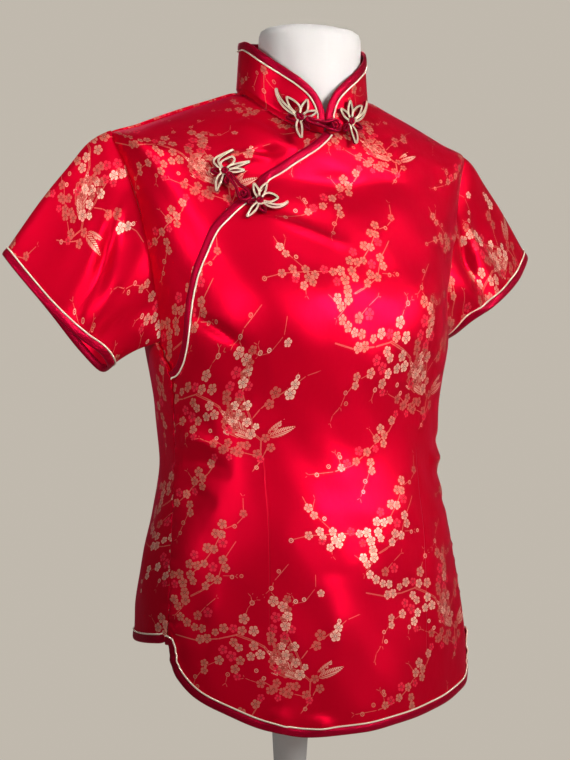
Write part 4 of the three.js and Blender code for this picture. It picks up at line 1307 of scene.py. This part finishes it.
def body_face(angle: float, level: float, turn: float) -> Face:
    """Local face on the body: maps distances x, y in mm to points and normals.

    Args:
        angle: Angle of the local origin.
        level: Level of the local origin.
        turn: Tilt of the x axis in degrees.

    Returns:
        The face.
    """
    at, normal = BODY.point(angle, level), BODY.normal(angle, level)
    flat = unit(np.cross([0, 0, 1], normal))
    up = np.cross(normal, flat)
    c, s = math.cos(turn * DEG), math.sin(turn * DEG)
    u, v = flat * c + up * s, up * c - flat * s
    da, dl = BODY.point(angle + 1, level) - at, at - BODY.point(angle, level - 1)
    det = (da @ u) * (dl @ v) - (dl @ u) * (da @ v)

    def place(x: Array, y: Array) -> tuple:
        """Points and normals at local distances x and y."""
        a = angle + (x * (dl @ v) - y * (dl @ u)) / det
        b = level + (y * (da @ u) - x * (da @ v)) / det
        return BODY.lay(a, b), BODY.normal(a, b)

    return place


def collar_face(collar: Collar, angle: float, height: float, turn: float) -> Face:
    """Local face on the collar; below its foot the face leans out over the chest.

    Args:
        collar: The collar.
        angle: Angle of the local origin.
        height: Height of the local origin above the collar's foot.
        turn: Tilt of the x axis in degrees.

    Returns:
        The face.
    """
    c, s, bend = math.cos(turn * DEG), math.sin(turn * DEG), 1 / (collar.radius * DEG)

    def place(x: Array, y: Array) -> tuple:
        """Points and level outward directions at local distances x and y."""
        a, h = angle + (x * c - y * s) * bend, height + y * c + x * s
        below = np.minimum(h, 0)
        out = collar.normal(a, np.ones_like(a)) * np.array([1, 1, 0])
        flat = unit(out)
        at = collar.point(a, np.maximum(h, 0)) + np.array([0, 0, 1.0]) * below[..., None]
        return at - flat * 0.85 * below[..., None], flat

    return place


@dataclass
class Closure:
    """The loop and the knot of one fastening, on the face of the half the loop grows from."""

    name: str
    half: Frog
    x: float
    y: float
    lift: float = 0.0
    loop_half: float = 5.6
    knot_radius: float = 4.1

    def outline(self) -> Array:
        """A drawn-out ring: half circle round the knot, then two lines back to the root.

        Returns:
            Flat points in mm from the half's middle, (N, 2).
        """
        way, reach = math.atan2(self.y, self.x), math.hypot(self.x, self.y)
        turn = np.linspace(-90, 90, 15) * DEG
        ring = np.stack([reach + self.loop_half * np.cos(turn), self.loop_half * np.sin(turn)], 1)
        tail = np.array([(reach - 4.6, 4.0), (reach - 8, 2.2), (11, 1.9), (6, 1.8), (5, 0.0), (6, -1.8),
                         (11, -1.9), (reach - 8, -2.2), (reach - 4.6, -4.0)])
        line = np.concatenate([ring, tail])
        c, s = math.cos(way), math.sin(way)
        return np.stack([line[:, 0] * c - line[:, 1] * s, line[:, 0] * s + line[:, 1] * c], 1)

    def build(self) -> tuple:
        """The loop's cord and a knot of three crossing turns.

        The knot is a closed line sin and cos of two and three turns on a ball, swept as a cord
        over a smaller core.

        Returns:
            The loop and the knot objects.
        """
        rail = self.half.rail(self.outline())
        loop = sweep(f"frog_loop_{self.name}", rail, circle(1.7, 0.0, 5.0 + self.lift, 10), True)
        at, out = self.half.face(np.array([self.x]), np.array([self.y]))
        centre = at[0] + out[0] * (self.knot_radius + self.half.rest + self.lift)
        t = np.linspace(0, 2 * math.pi, 120, endpoint=False)[:, None]
        flat = unit(np.cross([0, 0, 1], out[0]))
        up = np.cross(out[0], flat)
        direction = unit(flat * np.cos(2 * t) * (1 + 0.5 * np.cos(3 * t))
                         + up * np.sin(2 * t) * (1 + 0.5 * np.cos(3 * t)) + out[0] * np.sin(3 * t))
        line = centre + direction * (self.knot_radius - 1.2)
        rail = Rail(line, unit(np.cross(ring_tangent(line), direction)), direction)
        return loop, sweep(f"frog_knot_{self.name}", rail, circle(1.35, 0, 0, 8), True)


# ---- dress form and stand ----
@dataclass
class DressForm:
    """The limbless torso: rings under the cloth, then the neck stump with its rounded cap."""

    bottom: float = 888.0
    drop: float = 7.5
    columns: int = 96
    girth: float = 900.0
    shoulder: float = 1391.0
    neck_side: float = 1402.0
    # Rows of the neck: half width, half depth, middle in X and Y, rise, share of the neckline's slope.
    neck: tuple = ((51.5, 43.5, 4, -15, 1, 1), (53, 43.2, 6, -15, 12, 0.8), (53, 42.5, 7.5, -15, 26, 0.45),
                   (53, 42, 8, -15, 44, 0.15), (52.8, 41.8, 8, -15, 55, 0.02), (51, 40, 8, -15, 60, 0),
                   (46, 35, 8, -15, 63.4, 0), (34, 26, 7, -15, 66, 0), (18, 14, 6, -15, 67.6, 0),
                   (4, 3, 6, -15, 68, 0))

    def build(self) -> bpy.types.Object:
        """Body rings at the form's depth, neck ellipses above, and closed ends.

        Returns:
            The torso.
        """
        angle = np.arange(self.columns) * 360 / self.columns
        levels = refine([self.bottom, self.shoulder], 9.0)[:, None]
        torso = BODY.point(angle[None], levels) - BODY.normal(angle[None], levels) * self.drop
        a, b, x, y, rise, slope = np.array(self.neck, float).T[:, :, None]
        own = BODY.point(angle, np.full(self.columns, NECK))[None, :, 2]
        s, c = np.sin(angle * DEG)[None], np.cos(angle * DEG)[None]
        side = self.neck_side
        neck = np.stack([x + a * s, y - b * c, side + (own - side) * slope + rise], -1)
        rings = np.concatenate([torso, neck])
        return stack_rings("form_torso", rings, self.girth, rings[..., 2].mean(1), 60)


@dataclass
class Stand:
    """Round base, pole and its flared top, one profile turned about the upright axis."""

    form_bottom: float = 888.0
    columns: int = 72
    girth: float = 88.0

    def build(self) -> bpy.types.Object:
        """Turns the profile: every ring is radius (cos a, sin a) at its height.

        Returns:
            The stand.
        """
        top = self.form_bottom
        profile = [(146, 0), (148.6, 0.6), (150, 2.2), (150, 6.4), (149, 8.2), (146, 9.6), (130, 10.6),
                   (80, 11.8), (34, 12.8), (26, 14), (22, 17), (19, 21.5), (16.6, 26), (15, 31), (14, 38),
                   (14, 120), (14, 400), (14, 690), (14.6, 712), (16, 735), (17.6, 760), (18.9, 785),
                   (20.4, 840), (21, top - 10), (22, top - 7), (29, top - 5.6), (30, top - 4.6),
                   (30, top - 0.4)]
        r, z = np.array(profile, float).T[:, :, None]
        a = np.arange(self.columns)[None, :] * 2 * math.pi / self.columns
        rings = np.stack([r * np.cos(a), r * np.sin(a), z + 0 * a], -1)
        return stack_rings("stand_pole_and_base", rings, self.girth, z[:, 0], 35)


# ---- finishes ----
class Graph:
    """A material's nodes, made by short calls that return sockets."""

    def __init__(self, name: str) -> None:
        """Starts a material that holds one Principled shader."""
        self.material = bpy.data.materials.new(name)
        self.material.use_nodes = True
        self.tree = self.material.node_tree
        self.shader = self.tree.nodes["Principled BSDF"]

    def node(self, kind: str, inputs: dict = (), **settings: object) -> bpy.types.Node:
        """Adds a node, sets its options and fills or links its inputs.

        Args:
            kind: Node type.
            inputs: Values or sockets by the inputs' names or numbers.
            settings: The node's own options.

        Returns:
            The node.
        """
        node = self.tree.nodes.new(kind)
        for key, value in settings.items():
            setattr(node, key, value)
        for key, value in dict(inputs).items():
            self.feed(node.inputs[key], value)
        return node

    def feed(self, socket: bpy.types.NodeSocket, value: object) -> None:
        """Links a socket, or sets its own value."""
        if isinstance(value, bpy.types.NodeSocket):
            self.tree.links.new(value, socket)
        elif isinstance(value, (tuple, list)) and socket.type == "RGBA" and len(value) == 3:
            socket.default_value = (*value, 1.0)
        else:
            socket.default_value = value

    def math(self, kind: str, a: object, b: object = 0.0, c: object = 0.0) -> bpy.types.NodeSocket:
        """One Math node."""
        return self.node("ShaderNodeMath", {0: a, 1: b, 2: c}, operation=kind).outputs[0]

    def times(self, a: object, b: object) -> bpy.types.NodeSocket:
        """Product."""
        return self.math("MULTIPLY", a, b)

    def plus(self, a: object, b: object) -> bpy.types.NodeSocket:
        """Sum."""
        return self.math("ADD", a, b)

    def minus(self, a: object, b: object) -> bpy.types.NodeSocket:
        """Difference."""
        return self.math("SUBTRACT", a, b)

    def most(self, a: object, b: object) -> bpy.types.NodeSocket:
        """The greater of two values."""
        return self.math("MAXIMUM", a, b)

    def size(self, a: object) -> bpy.types.NodeSocket:
        """Value without its sign."""
        return self.math("ABSOLUTE", a)

    def rest(self, share: object) -> bpy.types.NodeSocket:
        """What a share leaves of one."""
        return self.minus(1.0, share)

    def hypot(self, x: object, y: object) -> bpy.types.NodeSocket:
        """Length of the vector (x, y)."""
        return self.math("SQRT", self.plus(self.times(x, x), self.times(y, y)))

    def near(self, value: object, centre: float, half: float, soft: float) -> bpy.types.NodeSocket:
        """One within half of the centre, nought beyond it, eased over soft."""
        return self.below(self.size(self.minus(value, centre)), half, soft)

    def below(self, value: object, edge: float, soft: float = 0.02) -> bpy.types.NodeSocket:
        """One where value is under edge, nought above it, eased over soft."""
        return self.node("ShaderNodeMapRange", {0: value, 1: edge - soft, 2: edge + soft, 3: 1.0, 4: 0.0},
                         clamp=True).outputs[0]

    def blend(self, share: object, a: object, b: object) -> bpy.types.NodeSocket:
        """Colour a turning into colour b as share goes from nought to one."""
        node = self.node("ShaderNodeMix", data_type="RGBA")
        for socket, value in ((node.inputs[0], share), (node.inputs[6], a), (node.inputs[7], b)):
            self.feed(socket, value)
        return node.outputs[2]

    def vector(self, word: str) -> list:
        """The three numbers of an attribute."""
        out = self.node("ShaderNodeAttribute", attribute_name=word).outputs["Vector"]
        return list(self.node("ShaderNodeSeparateXYZ", {0: out}).outputs)

    def uv(self) -> bpy.types.NodeSocket:
        """The piece's own UV map."""
        return self.node("ShaderNodeUVMap", uv_map="UVMap").outputs[0]

    def scaled(self, source: object, scale: tuple) -> bpy.types.NodeSocket:
        """Coordinates stretched by a Mapping node."""
        return self.node("ShaderNodeMapping", {"Vector": source, "Scale": scale}).outputs[0]

    def noise(self, source: object, scale: float, detail: float = 3.0) -> bpy.types.NodeSocket:
        """Noise value at coordinates."""
        inputs = {"Vector": source, "Scale": scale, "Detail": detail}
        return self.node("ShaderNodeTexNoise", inputs).outputs[0]

    def cloth_noise(self, scale: tuple, detail: float = 3.0) -> bpy.types.NodeSocket:
        """Noise on the UV map, stretched by the three scales."""
        return self.noise(self.scaled(self.uv(), scale), 1.0, detail)

    def wave(self, source: object, scale: float, distortion: float) -> bpy.types.NodeSocket:
        """Height of parallel bands at coordinates."""
        inputs = {"Vector": source, "Scale": scale, "Distortion": distortion}
        return self.node("ShaderNodeTexWave", inputs).outputs[1]

    def bump(self, height: object, strength: float, distance: float) -> None:
        """Feeds a height into the shader's normal."""
        node = self.node("ShaderNodeBump", {"Height": height, "Strength": strength, "Distance": distance})
        self.feed(self.shader.inputs["Normal"], node.outputs[0])

    def surface(self, **values: object) -> None:
        """Sets or links the shader's sockets, underscores standing for spaces."""
        for key, value in values.items():
            self.feed(self.shader.inputs[key.replace("_", " ")], value)


@dataclass(frozen=True)
class Brocade:
    """Satin ground with woven blossoms, twigs and plumes drawn from the corner attributes."""

    ground: tuple = (0.66, 0.0008, 0.017)
    deep: tuple = (0.55, 0.0004, 0.011)
    # cream and dull are the cream thread in painted highlight and in painted shade; the plumes run from dull
    # to cream
    cream: tuple = (1.0, 0.66, 0.50)
    dull: tuple = (0.64, 0.16, 0.105)
    salmon: tuple = (0.64, 0.115, 0.085)
    coral: tuple = (0.84, 0.028, 0.06)
    twig: tuple = (0.78, 0.17, 0.12)
    line: tuple = (0.30, 0.02, 0.012)
    darts: float = 0.0

    def blossom(self, g: Graph, word: str) -> tuple:
        """Five round petals, parted by slits, with a light rim, an eye and stamens.

        Args:
            g: The graph.
            word: Attribute with the local place in blossom radii, and the thread's number plus its share of
                painted shade.

        Returns:
            (mask, colour) sockets.
        """
        x, y, z = g.vector(word)
        thread, shade = g.math("FLOOR", z), g.math("FRACT", z)
        r, fifth = g.hypot(x, y), math.pi / 5
        t = g.math("WRAP", g.math("ARCTAN2", y, x), fifth, -fifth)
        px, py = g.times(r, g.math("COSINE", t)), g.times(r, g.math("SINE", t))
        petal = g.hypot(g.minus(px, 0.57), py)
        slit = g.times(r, g.math("SINE", g.minus(fifth, g.size(t))))
        parted = g.times(g.below(slit, 0.075), g.rest(g.below(r, 0.36)))
        flower = g.most(g.times(g.below(petal, 0.42, 0.03), g.rest(parted)), g.below(r, 0.3, 0.03))
        bud = g.most(g.near(r, 0.72, 0.17, 0.03), g.below(r, 0.2, 0.03))
        is_bud = g.math("GREATER_THAN", thread, 2.5)
        mask = g.plus(g.times(is_bud, bud), g.times(g.rest(is_bud), flower))
        # Painted highlight and shade: a cream figure runs from its lit colour to its shaded colour by its
        # share.
        colour = g.blend(shade, self.cream, self.dull)
        for number, dyed in ((Thread.SALMON, self.salmon), (Thread.CORAL, self.coral)):
            colour = g.blend(g.math("COMPARE", thread, float(number), 0.3), colour, dyed)
        hollow = g.times(g.below(petal, 0.25, 0.04), 0.4)
        colour = g.blend(g.times(hollow, g.below(thread, 1.5, 0.1)), colour, self.salmon)
        hair = g.times(g.near(py, 0.0, 0.035, 0.015), g.near(px, 0.33, 0.13, 0.02))
        dark = g.times(g.most(g.near(r, 0.2, 0.07, 0.02), hair), g.rest(is_bud))
        return mask, g.blend(g.times(dark, 0.8), colour, self.line)

    @staticmethod
    def branch(g: Graph, word: str) -> bpy.types.NodeSocket:
        """A twig with a rough edge and a darker pith.

        Args:
            g: The graph.
            word: Attribute with the distances off and past the twig and its half width, in mm.

        Returns:
            The mask's socket.
        """
        side, over, half = g.vector(word)
        rough = g.times(g.minus(g.cloth_noise((420, 420, 1)), 0.5), 0.9)
        past = g.minus(g.plus(g.hypot(side, over), g.times(rough, half)), half)
        pith = g.below(g.plus(past, 0.5), 0.0, 0.12)
        return g.times(g.below(past, 0.0, 0.15), g.rest(g.times(pith, 0.7)))

    @staticmethod
    def plume(g: Graph) -> tuple:
        """A veined leaf of half width sin(pi x^0.75)^0.8 along its axis, split down the middle.

        Args:
            g: The graph.

        Returns:
            Sockets of the mask and of the share along the leaf.
        """
        x, y, _ = g.vector("plume")
        held, across = g.most(g.math("MINIMUM", x, 1.0), 0.0), g.size(y)
        swell = g.most(g.math("SINE", g.times(math.pi, g.math("POWER", held, 0.75))), 0.0)
        leaf = g.below(g.minus(across, g.math("POWER", swell, 0.8)), -0.02, 0.05)
        rib = g.math("FRACT", g.minus(g.times(x, 10.0), g.times(across, 1.9)))
        veined = g.times(g.below(rib, 0.66, 0.05), g.rest(g.below(across, 0.09, 0.03)))
        return g.times(leaf, veined), x

    def make(self) -> bpy.types.Material:
        """Lays twigs, plumes and blossoms over the ground, the nearest of each kind last.

        Returns:
            The material.
        """
        g = Graph("brocade")
        cloud, warp = g.cloth_noise((9, 9, 9), 2.0), g.cloth_noise((2600, 60, 1), 2.0)
        colour = g.blend(g.times(g.plus(cloud, g.times(warp, 0.5)), 0.55), self.ground, self.deep)
        figure = g.most(self.branch(g, "twig_b"), self.branch(g, "twig_a"))
        colour = g.blend(figure, colour, g.blend(g.wave(g.uv(), 260.0, 4.0), self.twig, self.salmon))
        leaf, along = self.plume(g)
        colour = g.blend(leaf, colour, g.blend(along, self.dull, self.cream))
        figure = g.most(figure, leaf)
        for word in ("bloom_b", "bloom_a"):
            mask, tint = self.blossom(g, word)
            colour, figure = g.blend(mask, colour, tint), g.most(figure, mask)
        dart = self.dart(g)
        colour = g.blend(g.times(dart, 0.3), colour, self.line)
        g.surface(Base_Color=colour, Metallic=0.52, Specular_IOR_Level=0.3, Specular_Tint=(1.0, 0.02, 0.45),
                  Sheen_Weight=0.18, Sheen_Roughness=0.45, Sheen_Tint=(1.0, 0.0, 0.22), Anisotropic=0.3,
                  Roughness=g.plus(0.42, g.times(figure, 0.1)))
        tangent = g.node("ShaderNodeTangent", direction_type="UV_MAP", uv_map="UVMap")
        g.surface(Tangent=tangent.outputs[0])
        weft, crinkle = g.cloth_noise((900, 900, 1), 2.0), g.cloth_noise((70, 45, 1), 2.0)
        height = g.plus(g.times(weft, 0.12), crinkle)
        g.bump(g.minus(height, g.times(dart, 0.8)), 0.35, 0.0009)
        return g.material

    def dart(self, g: Graph) -> bpy.types.NodeSocket:
        """Stitched lines of the two waist darts, 85.5 mm either side of the centre front."""
        x, y, _ = g.node("ShaderNodeSeparateXYZ", {0: g.uv()}).outputs
        stitched = g.times(g.near(g.size(x), 0.0855, 0.0005, 0.0003), g.near(y, 0.945, 0.1, 0.01))
        return g.times(stitched, self.darts)


@dataclass(frozen=True)
class Satin:
    """Plain satin cut on the bias, for bindings, cords and the fastenings' bands.

    The glow tints its gloss and sheen, and line_at is the place round a cord of a dark groove.
    """

    name: str
    colour: tuple
    shade: tuple
    glow: tuple
    roughness: float = 0.4
    pucker: float = 0.5
    metal: float = 0.4
    line_at: float = -1.0
    groove: tuple = (0.25, 0.01, 0.02)

    def make(self) -> bpy.types.Material:
        """Slanted satin rib, soft colour change and small puckers from the sewing.

        Returns:
            The material.
        """
        g = Graph(self.name)
        slant = g.node("ShaderNodeMapping", {"Vector": g.uv(), "Rotation": (0, 0, 0.78)}).outputs[0]
        rib = g.wave(slant, 520.0, 1.0)
        share = g.plus(g.times(rib, 0.25), g.times(g.cloth_noise((60, 130, 1)), 0.9))
        colour = g.blend(share, self.colour, self.shade)
        if self.line_at > 0:
            across = g.node("ShaderNodeSeparateXYZ", {0: g.uv()}).outputs[1]
            groove = g.times(g.near(across, self.line_at, 0.0003, 0.00012), 0.8)
            colour = g.blend(groove, colour, self.groove)
        g.surface(Base_Color=colour, Roughness=self.roughness,
                  Metallic=self.metal, Specular_IOR_Level=0.35, Specular_Tint=self.glow,
                  Sheen_Weight=0.1, Sheen_Tint=self.glow, Anisotropic=0.3)
        g.bump(g.plus(g.times(rib, 0.12), g.cloth_noise((190, 30, 1), 2.0)), self.pucker, 0.0007)
        return g.material


@dataclass(frozen=True)
class Jersey:
    """The form's smooth off-white stretch cover."""

    colour: tuple = (0.78, 0.765, 0.74)
    shade: tuple = (0.70, 0.685, 0.66)

    def make(self) -> bpy.types.Material:
        """Fine knit columns with a soft mottling and a faint fuzz."""
        g = Graph("form_jersey")
        g.surface(Base_Color=g.blend(g.cloth_noise((14, 14, 1)), self.colour, self.shade), Roughness=0.62,
                  Sheen_Weight=0.2, Sheen_Roughness=0.5)
        g.bump(g.plus(g.wave(g.uv(), 190.0, 2.0), g.cloth_noise((900, 900, 1))), 0.15, 0.0004)
        return g.material


@dataclass(frozen=True)
class WhitePaint:
    """Powder-coated steel of the pole and the base, with a little grime in random patches."""

    colour: tuple = (0.74, 0.735, 0.72)
    worn: tuple = (0.60, 0.59, 0.57)

    def make(self) -> bpy.types.Material:
        """Faint orange-peel and grime in random patches from a noise."""
        g = Graph("stand_paint")
        place = g.node("ShaderNodeTexCoord").outputs["Object"]
        grime = g.math("POWER", g.noise(g.scaled(place, (22, 22, 22)), 1.0, 5.0), 2.5)
        g.surface(Base_Color=g.blend(grime, self.colour, self.worn), Specular_IOR_Level=0.5,
                  Roughness=g.plus(0.3, g.times(grime, 0.5)), Coat_Weight=0.15)
        g.bump(g.noise(place, 900.0), 0.12, 0.0003)
        return g.material


# ---- studio ----
@dataclass
class Studio:
    """Pale floor, soft lights, plain surroundings and the camera."""

    distance: float = 2.4
    azimuth: float = 25.0
    height: float = 1.067
    slide: float = -0.0082
    rise: float = 50.0 / 2400.0
    roll: float = 0.5
    lens: float = 36.0 * 2400 / 760
    room: float = 0.13
    floor_columns: int = 96
    LAMPS = (  # name, place, target, size, watts, colour, beam in degrees
        ("key", (1.8, -3.2, 2.6), (0.05, 0, 1.15), 1.8, 98, (1, 0.98, 0.95), 180.0),
        ("chest", (1.5, -3.2, 2.5), (0.0, -0.1, 1.27), 0.7, 0.85, (1, 0.96, 0.98), 8.0),
        ("fill", (-1.3, -1.5, 3.0), (-0.1, 0, 1.3), 1.2, 3, (0.98, 0.98, 1), 180.0),
        ("side", (-1.7, -1.0, 1.6), (-0.18, -0.04, 1.25), 0.3, 0.35, (1, 0.97, 0.97), 22.0),
        ("rim", (0.8, 2.3, 2.2), (0, 0, 1.2), 1.4, 12, (1, 1, 1), 180.0))

    def camera(self) -> None:
        """Looks level along the azimuth, tipped up by the rise and rolled to the left."""
        a, r, p = self.azimuth * DEG, self.roll * DEG, math.atan(self.rise)
        ahead, right, up = (Vector((math.sin(a), math.cos(a), 0)), Vector((math.cos(a), -math.sin(a), 0)),
                            Vector((0, 0, 1)))
        place = -ahead * self.distance + right * self.slide + up * self.height
        look, top = ahead * math.cos(p) + up * math.sin(p), up * math.cos(p) - ahead * math.sin(p)
        across, top = right * math.cos(r) + top * math.sin(r), top * math.cos(r) - right * math.sin(r)
        data = bpy.data.cameras.new("camera")
        data.lens, data.sensor_width, data.sensor_fit = self.lens, 36.0, "AUTO"
        obj = bpy.data.objects.new("camera", data)
        turn = Matrix((across, top, -look)).transposed()
        obj.matrix_world = Matrix.Translation(place) @ turn.to_4x4()
        bpy.context.scene.collection.objects.link(obj)
        bpy.context.scene.camera = obj

    @staticmethod
    def light(name: str, place: tuple, target: tuple, size: float, power: float, colour: tuple,
              beam: float) -> None:
        """One soft square lamp that faces its target, its beam narrowed by a honeycomb.

        Args:
            name: Object name.
            place: Where it hangs, in metres.
            target: What it faces.
            size: Length of a side in metres.
            power: Watts.
            colour: Colour of its light.
            beam: Full angle of the beam in degrees.
        """
        data = bpy.data.lights.new(name, "AREA")
        data.size, data.energy, data.color = size, power, colour
        data.spread = float(np.radians(beam))
        obj = bpy.data.objects.new(name, data)
        obj.location = place
        obj.rotation_euler = (Vector(target) - Vector(place)).to_track_quat("-Z", "Y").to_euler()
        bpy.context.scene.collection.objects.link(obj)

    def surroundings(self) -> None:
        """Pale plain backdrop to look at, and a dimmer even light for the room."""
        world = bpy.data.worlds.new("room")
        world.use_nodes = True
        tree = world.node_tree
        seen, light = tree.nodes["Background"], tree.nodes.new("ShaderNodeBackground")
        seen.inputs[0].default_value, seen.inputs[1].default_value = (0.53, 0.485, 0.42, 1), 1.0
        light.inputs[0].default_value, light.inputs[1].default_value = (1.0, 0.97, 0.93, 1), self.room
        mix, ray = tree.nodes.new("ShaderNodeMixShader"), tree.nodes.new("ShaderNodeLightPath")
        tree.links.new(ray.outputs["Is Camera Ray"], mix.inputs[0])
        tree.links.new(light.outputs[0], mix.inputs[1])
        tree.links.new(seen.outputs[0], mix.inputs[2])
        tree.links.new(mix.outputs[0], tree.nodes["World Output"].inputs[0])
        bpy.context.scene.world = world
        bpy.context.scene.view_settings.view_transform = "Standard"

    def build(self) -> None:
        """Sets up floor, world, lamps and camera."""
        cols = self.floor_columns
        angle = np.arange(cols) * 2 * math.pi / cols
        radii = np.array([1.0, 900.0, 2600.0])[:, None]
        rings = np.stack([radii * np.cos(angle), radii * np.sin(angle), 0 * radii + 0 * angle - 0.5], -1)
        i, j = cells(2, cols)
        j2 = (j + 1) % cols
        quads = np.stack([i * cols + j, (i + 1) * cols + j, (i + 1) * cols + j2, i * cols + j2], 1)
        floor = build_mesh("floor", rings.reshape(-1, 3), quads, np.zeros((len(quads), 4, 2)))
        g = Graph("floor_paper")
        g.surface(Base_Color=(0.72, 0.70, 0.67), Roughness=0.8)
        floor.data.materials.append(g.material)
        self.surroundings()
        for lamp in self.LAMPS:
            self.light(*lamp)
        self.camera()


# ---- the whole part ----
def dress(obj: bpy.types.Object, material: bpy.types.Material, slot: str, *nodes: str) -> None:
    """Gives a piece its finish, lets it ride on the root, and hides the nodes of the part that it replaces.

    Args:
        obj: The piece.
        material: Its finish.
        slot: Its slot's name; not used.
        nodes: Nodes of the part that it replaces.
    """
    obj.data.materials.append(material)
    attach(obj, "root")
    if nodes:
        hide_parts(*nodes)
    LOG.info("%s: %d faces", obj.name, len(obj.data.polygons))


def main() -> None:
    """Builds the form, the cloth, the trims and the fastenings, then the studio."""
    logging.basicConfig(level=logging.INFO, format="%(message)s")
    brocade, darted = Brocade().make(), Brocade(darts=1.0).make()
    binding = Satin("binding_satin", (0.42, 0.001, 0.022), (0.27, 0.0006, 0.013), (1, 0.05, 0.3)).make()
    cream = Satin("piping_satin", (0.97, 0.88, 0.74), (0.90, 0.74, 0.56), (1, 1, 1), 0.5, 0.2, 0.0).make()
    band = Satin("frog_satin", (0.33, 0.002, 0.02), (0.16, 0.001, 0.008), (1, 0.05, 0.3), 0.34).make()
    rim = Satin("frog_rim_satin", (0.95, 0.88, 0.70), (0.80, 0.68, 0.48), (1, 1, 1), 0.36, 0.3,
                0.05, 0.00232).make()
    dress(DressForm().build(), Jersey().make(), "form_cover", "dress_form")
    dress(Stand().build(), WhitePaint().make(), "stand_paint", "stand")

    cloths = {}
    for panel in body_panels():
        node = panel.name.removeprefix("cloth_")
        cloths[node] = panel.build().obj
        dress(cloths[node], darted if node == "front_main" else brocade, "brocade", node)
    collar = Collar()
    cloths["collar"] = collar.build().obj
    dress(cloths["collar"], brocade, "brocade", "collar")
    sleeves = {"right": Sleeve("cloth_sleeve_right", -1, CUFF_RIGHT, (-42, 1122)),
               "left": Sleeve("cloth_sleeve_left", 1, CUFF_LEFT, (-147, 1158))}
    for word, sleeve in sleeves.items():
        cloths[f"sleeve_{word}"] = sleeve.build().obj
        dress(cloths[f"sleeve_{word}"], brocade, "brocade", f"sleeve_{word}")

    trims = Trims().build(collar, sleeves)
    for word, (bind, pipe) in trims.items():
        dress(bind, binding, "binding", f"binding_{word}")
        dress(pipe, cream, "piping", f"piping_{word}")
    halves = {
        "collar_right": Frog("collar_right", collar_face(collar, -23, 4, -22), 1, 2.1),
        "collar_left": Frog("collar_left", collar_face(collar, 23, 3, 4), -1, 2.1),
        "opening_upper": Frog("opening_upper", body_face(-34, 1323, -52), 1, 0.6),
        "opening_lower": Frog("opening_lower", body_face(-25.5, 1293, -19), -1, 2.3)}
    fastenings = []
    for word, half in halves.items():
        strip, edge, root = half.build()
        dress(strip, band, "frog_cord", f"frog_{word}")
        dress(edge, rim, "frog_cord")
        dress(root, band, "frog_cord")
        fastenings += [strip, edge, root]
    for closure in (Closure("collar", halves["collar_right"], 27.7, 8.6),
                    Closure("opening", halves["opening_upper"], 27.5, -3.0, 1.2)):
        loop, knot = closure.build()
        dress(loop, band, "frog_cord", f"loop_{closure.name}")
        dress(knot, band, "frog_cord", f"knot_{closure.name}")
        fastenings += [loop, knot]

    sizes = {p.name.removeprefix("cloth_"): (p.flat, p.area) for p in body_panels()}
    sizes.update({"collar": ((0.41, 0.05), 0.0192), "sleeve_right": ((0.38, 0.19), 0.0435),
                  "sleeve_left": ((0.36, 0.17), 0.0362)})
    Studio().build()


if __name__ == "__main__":
    main()
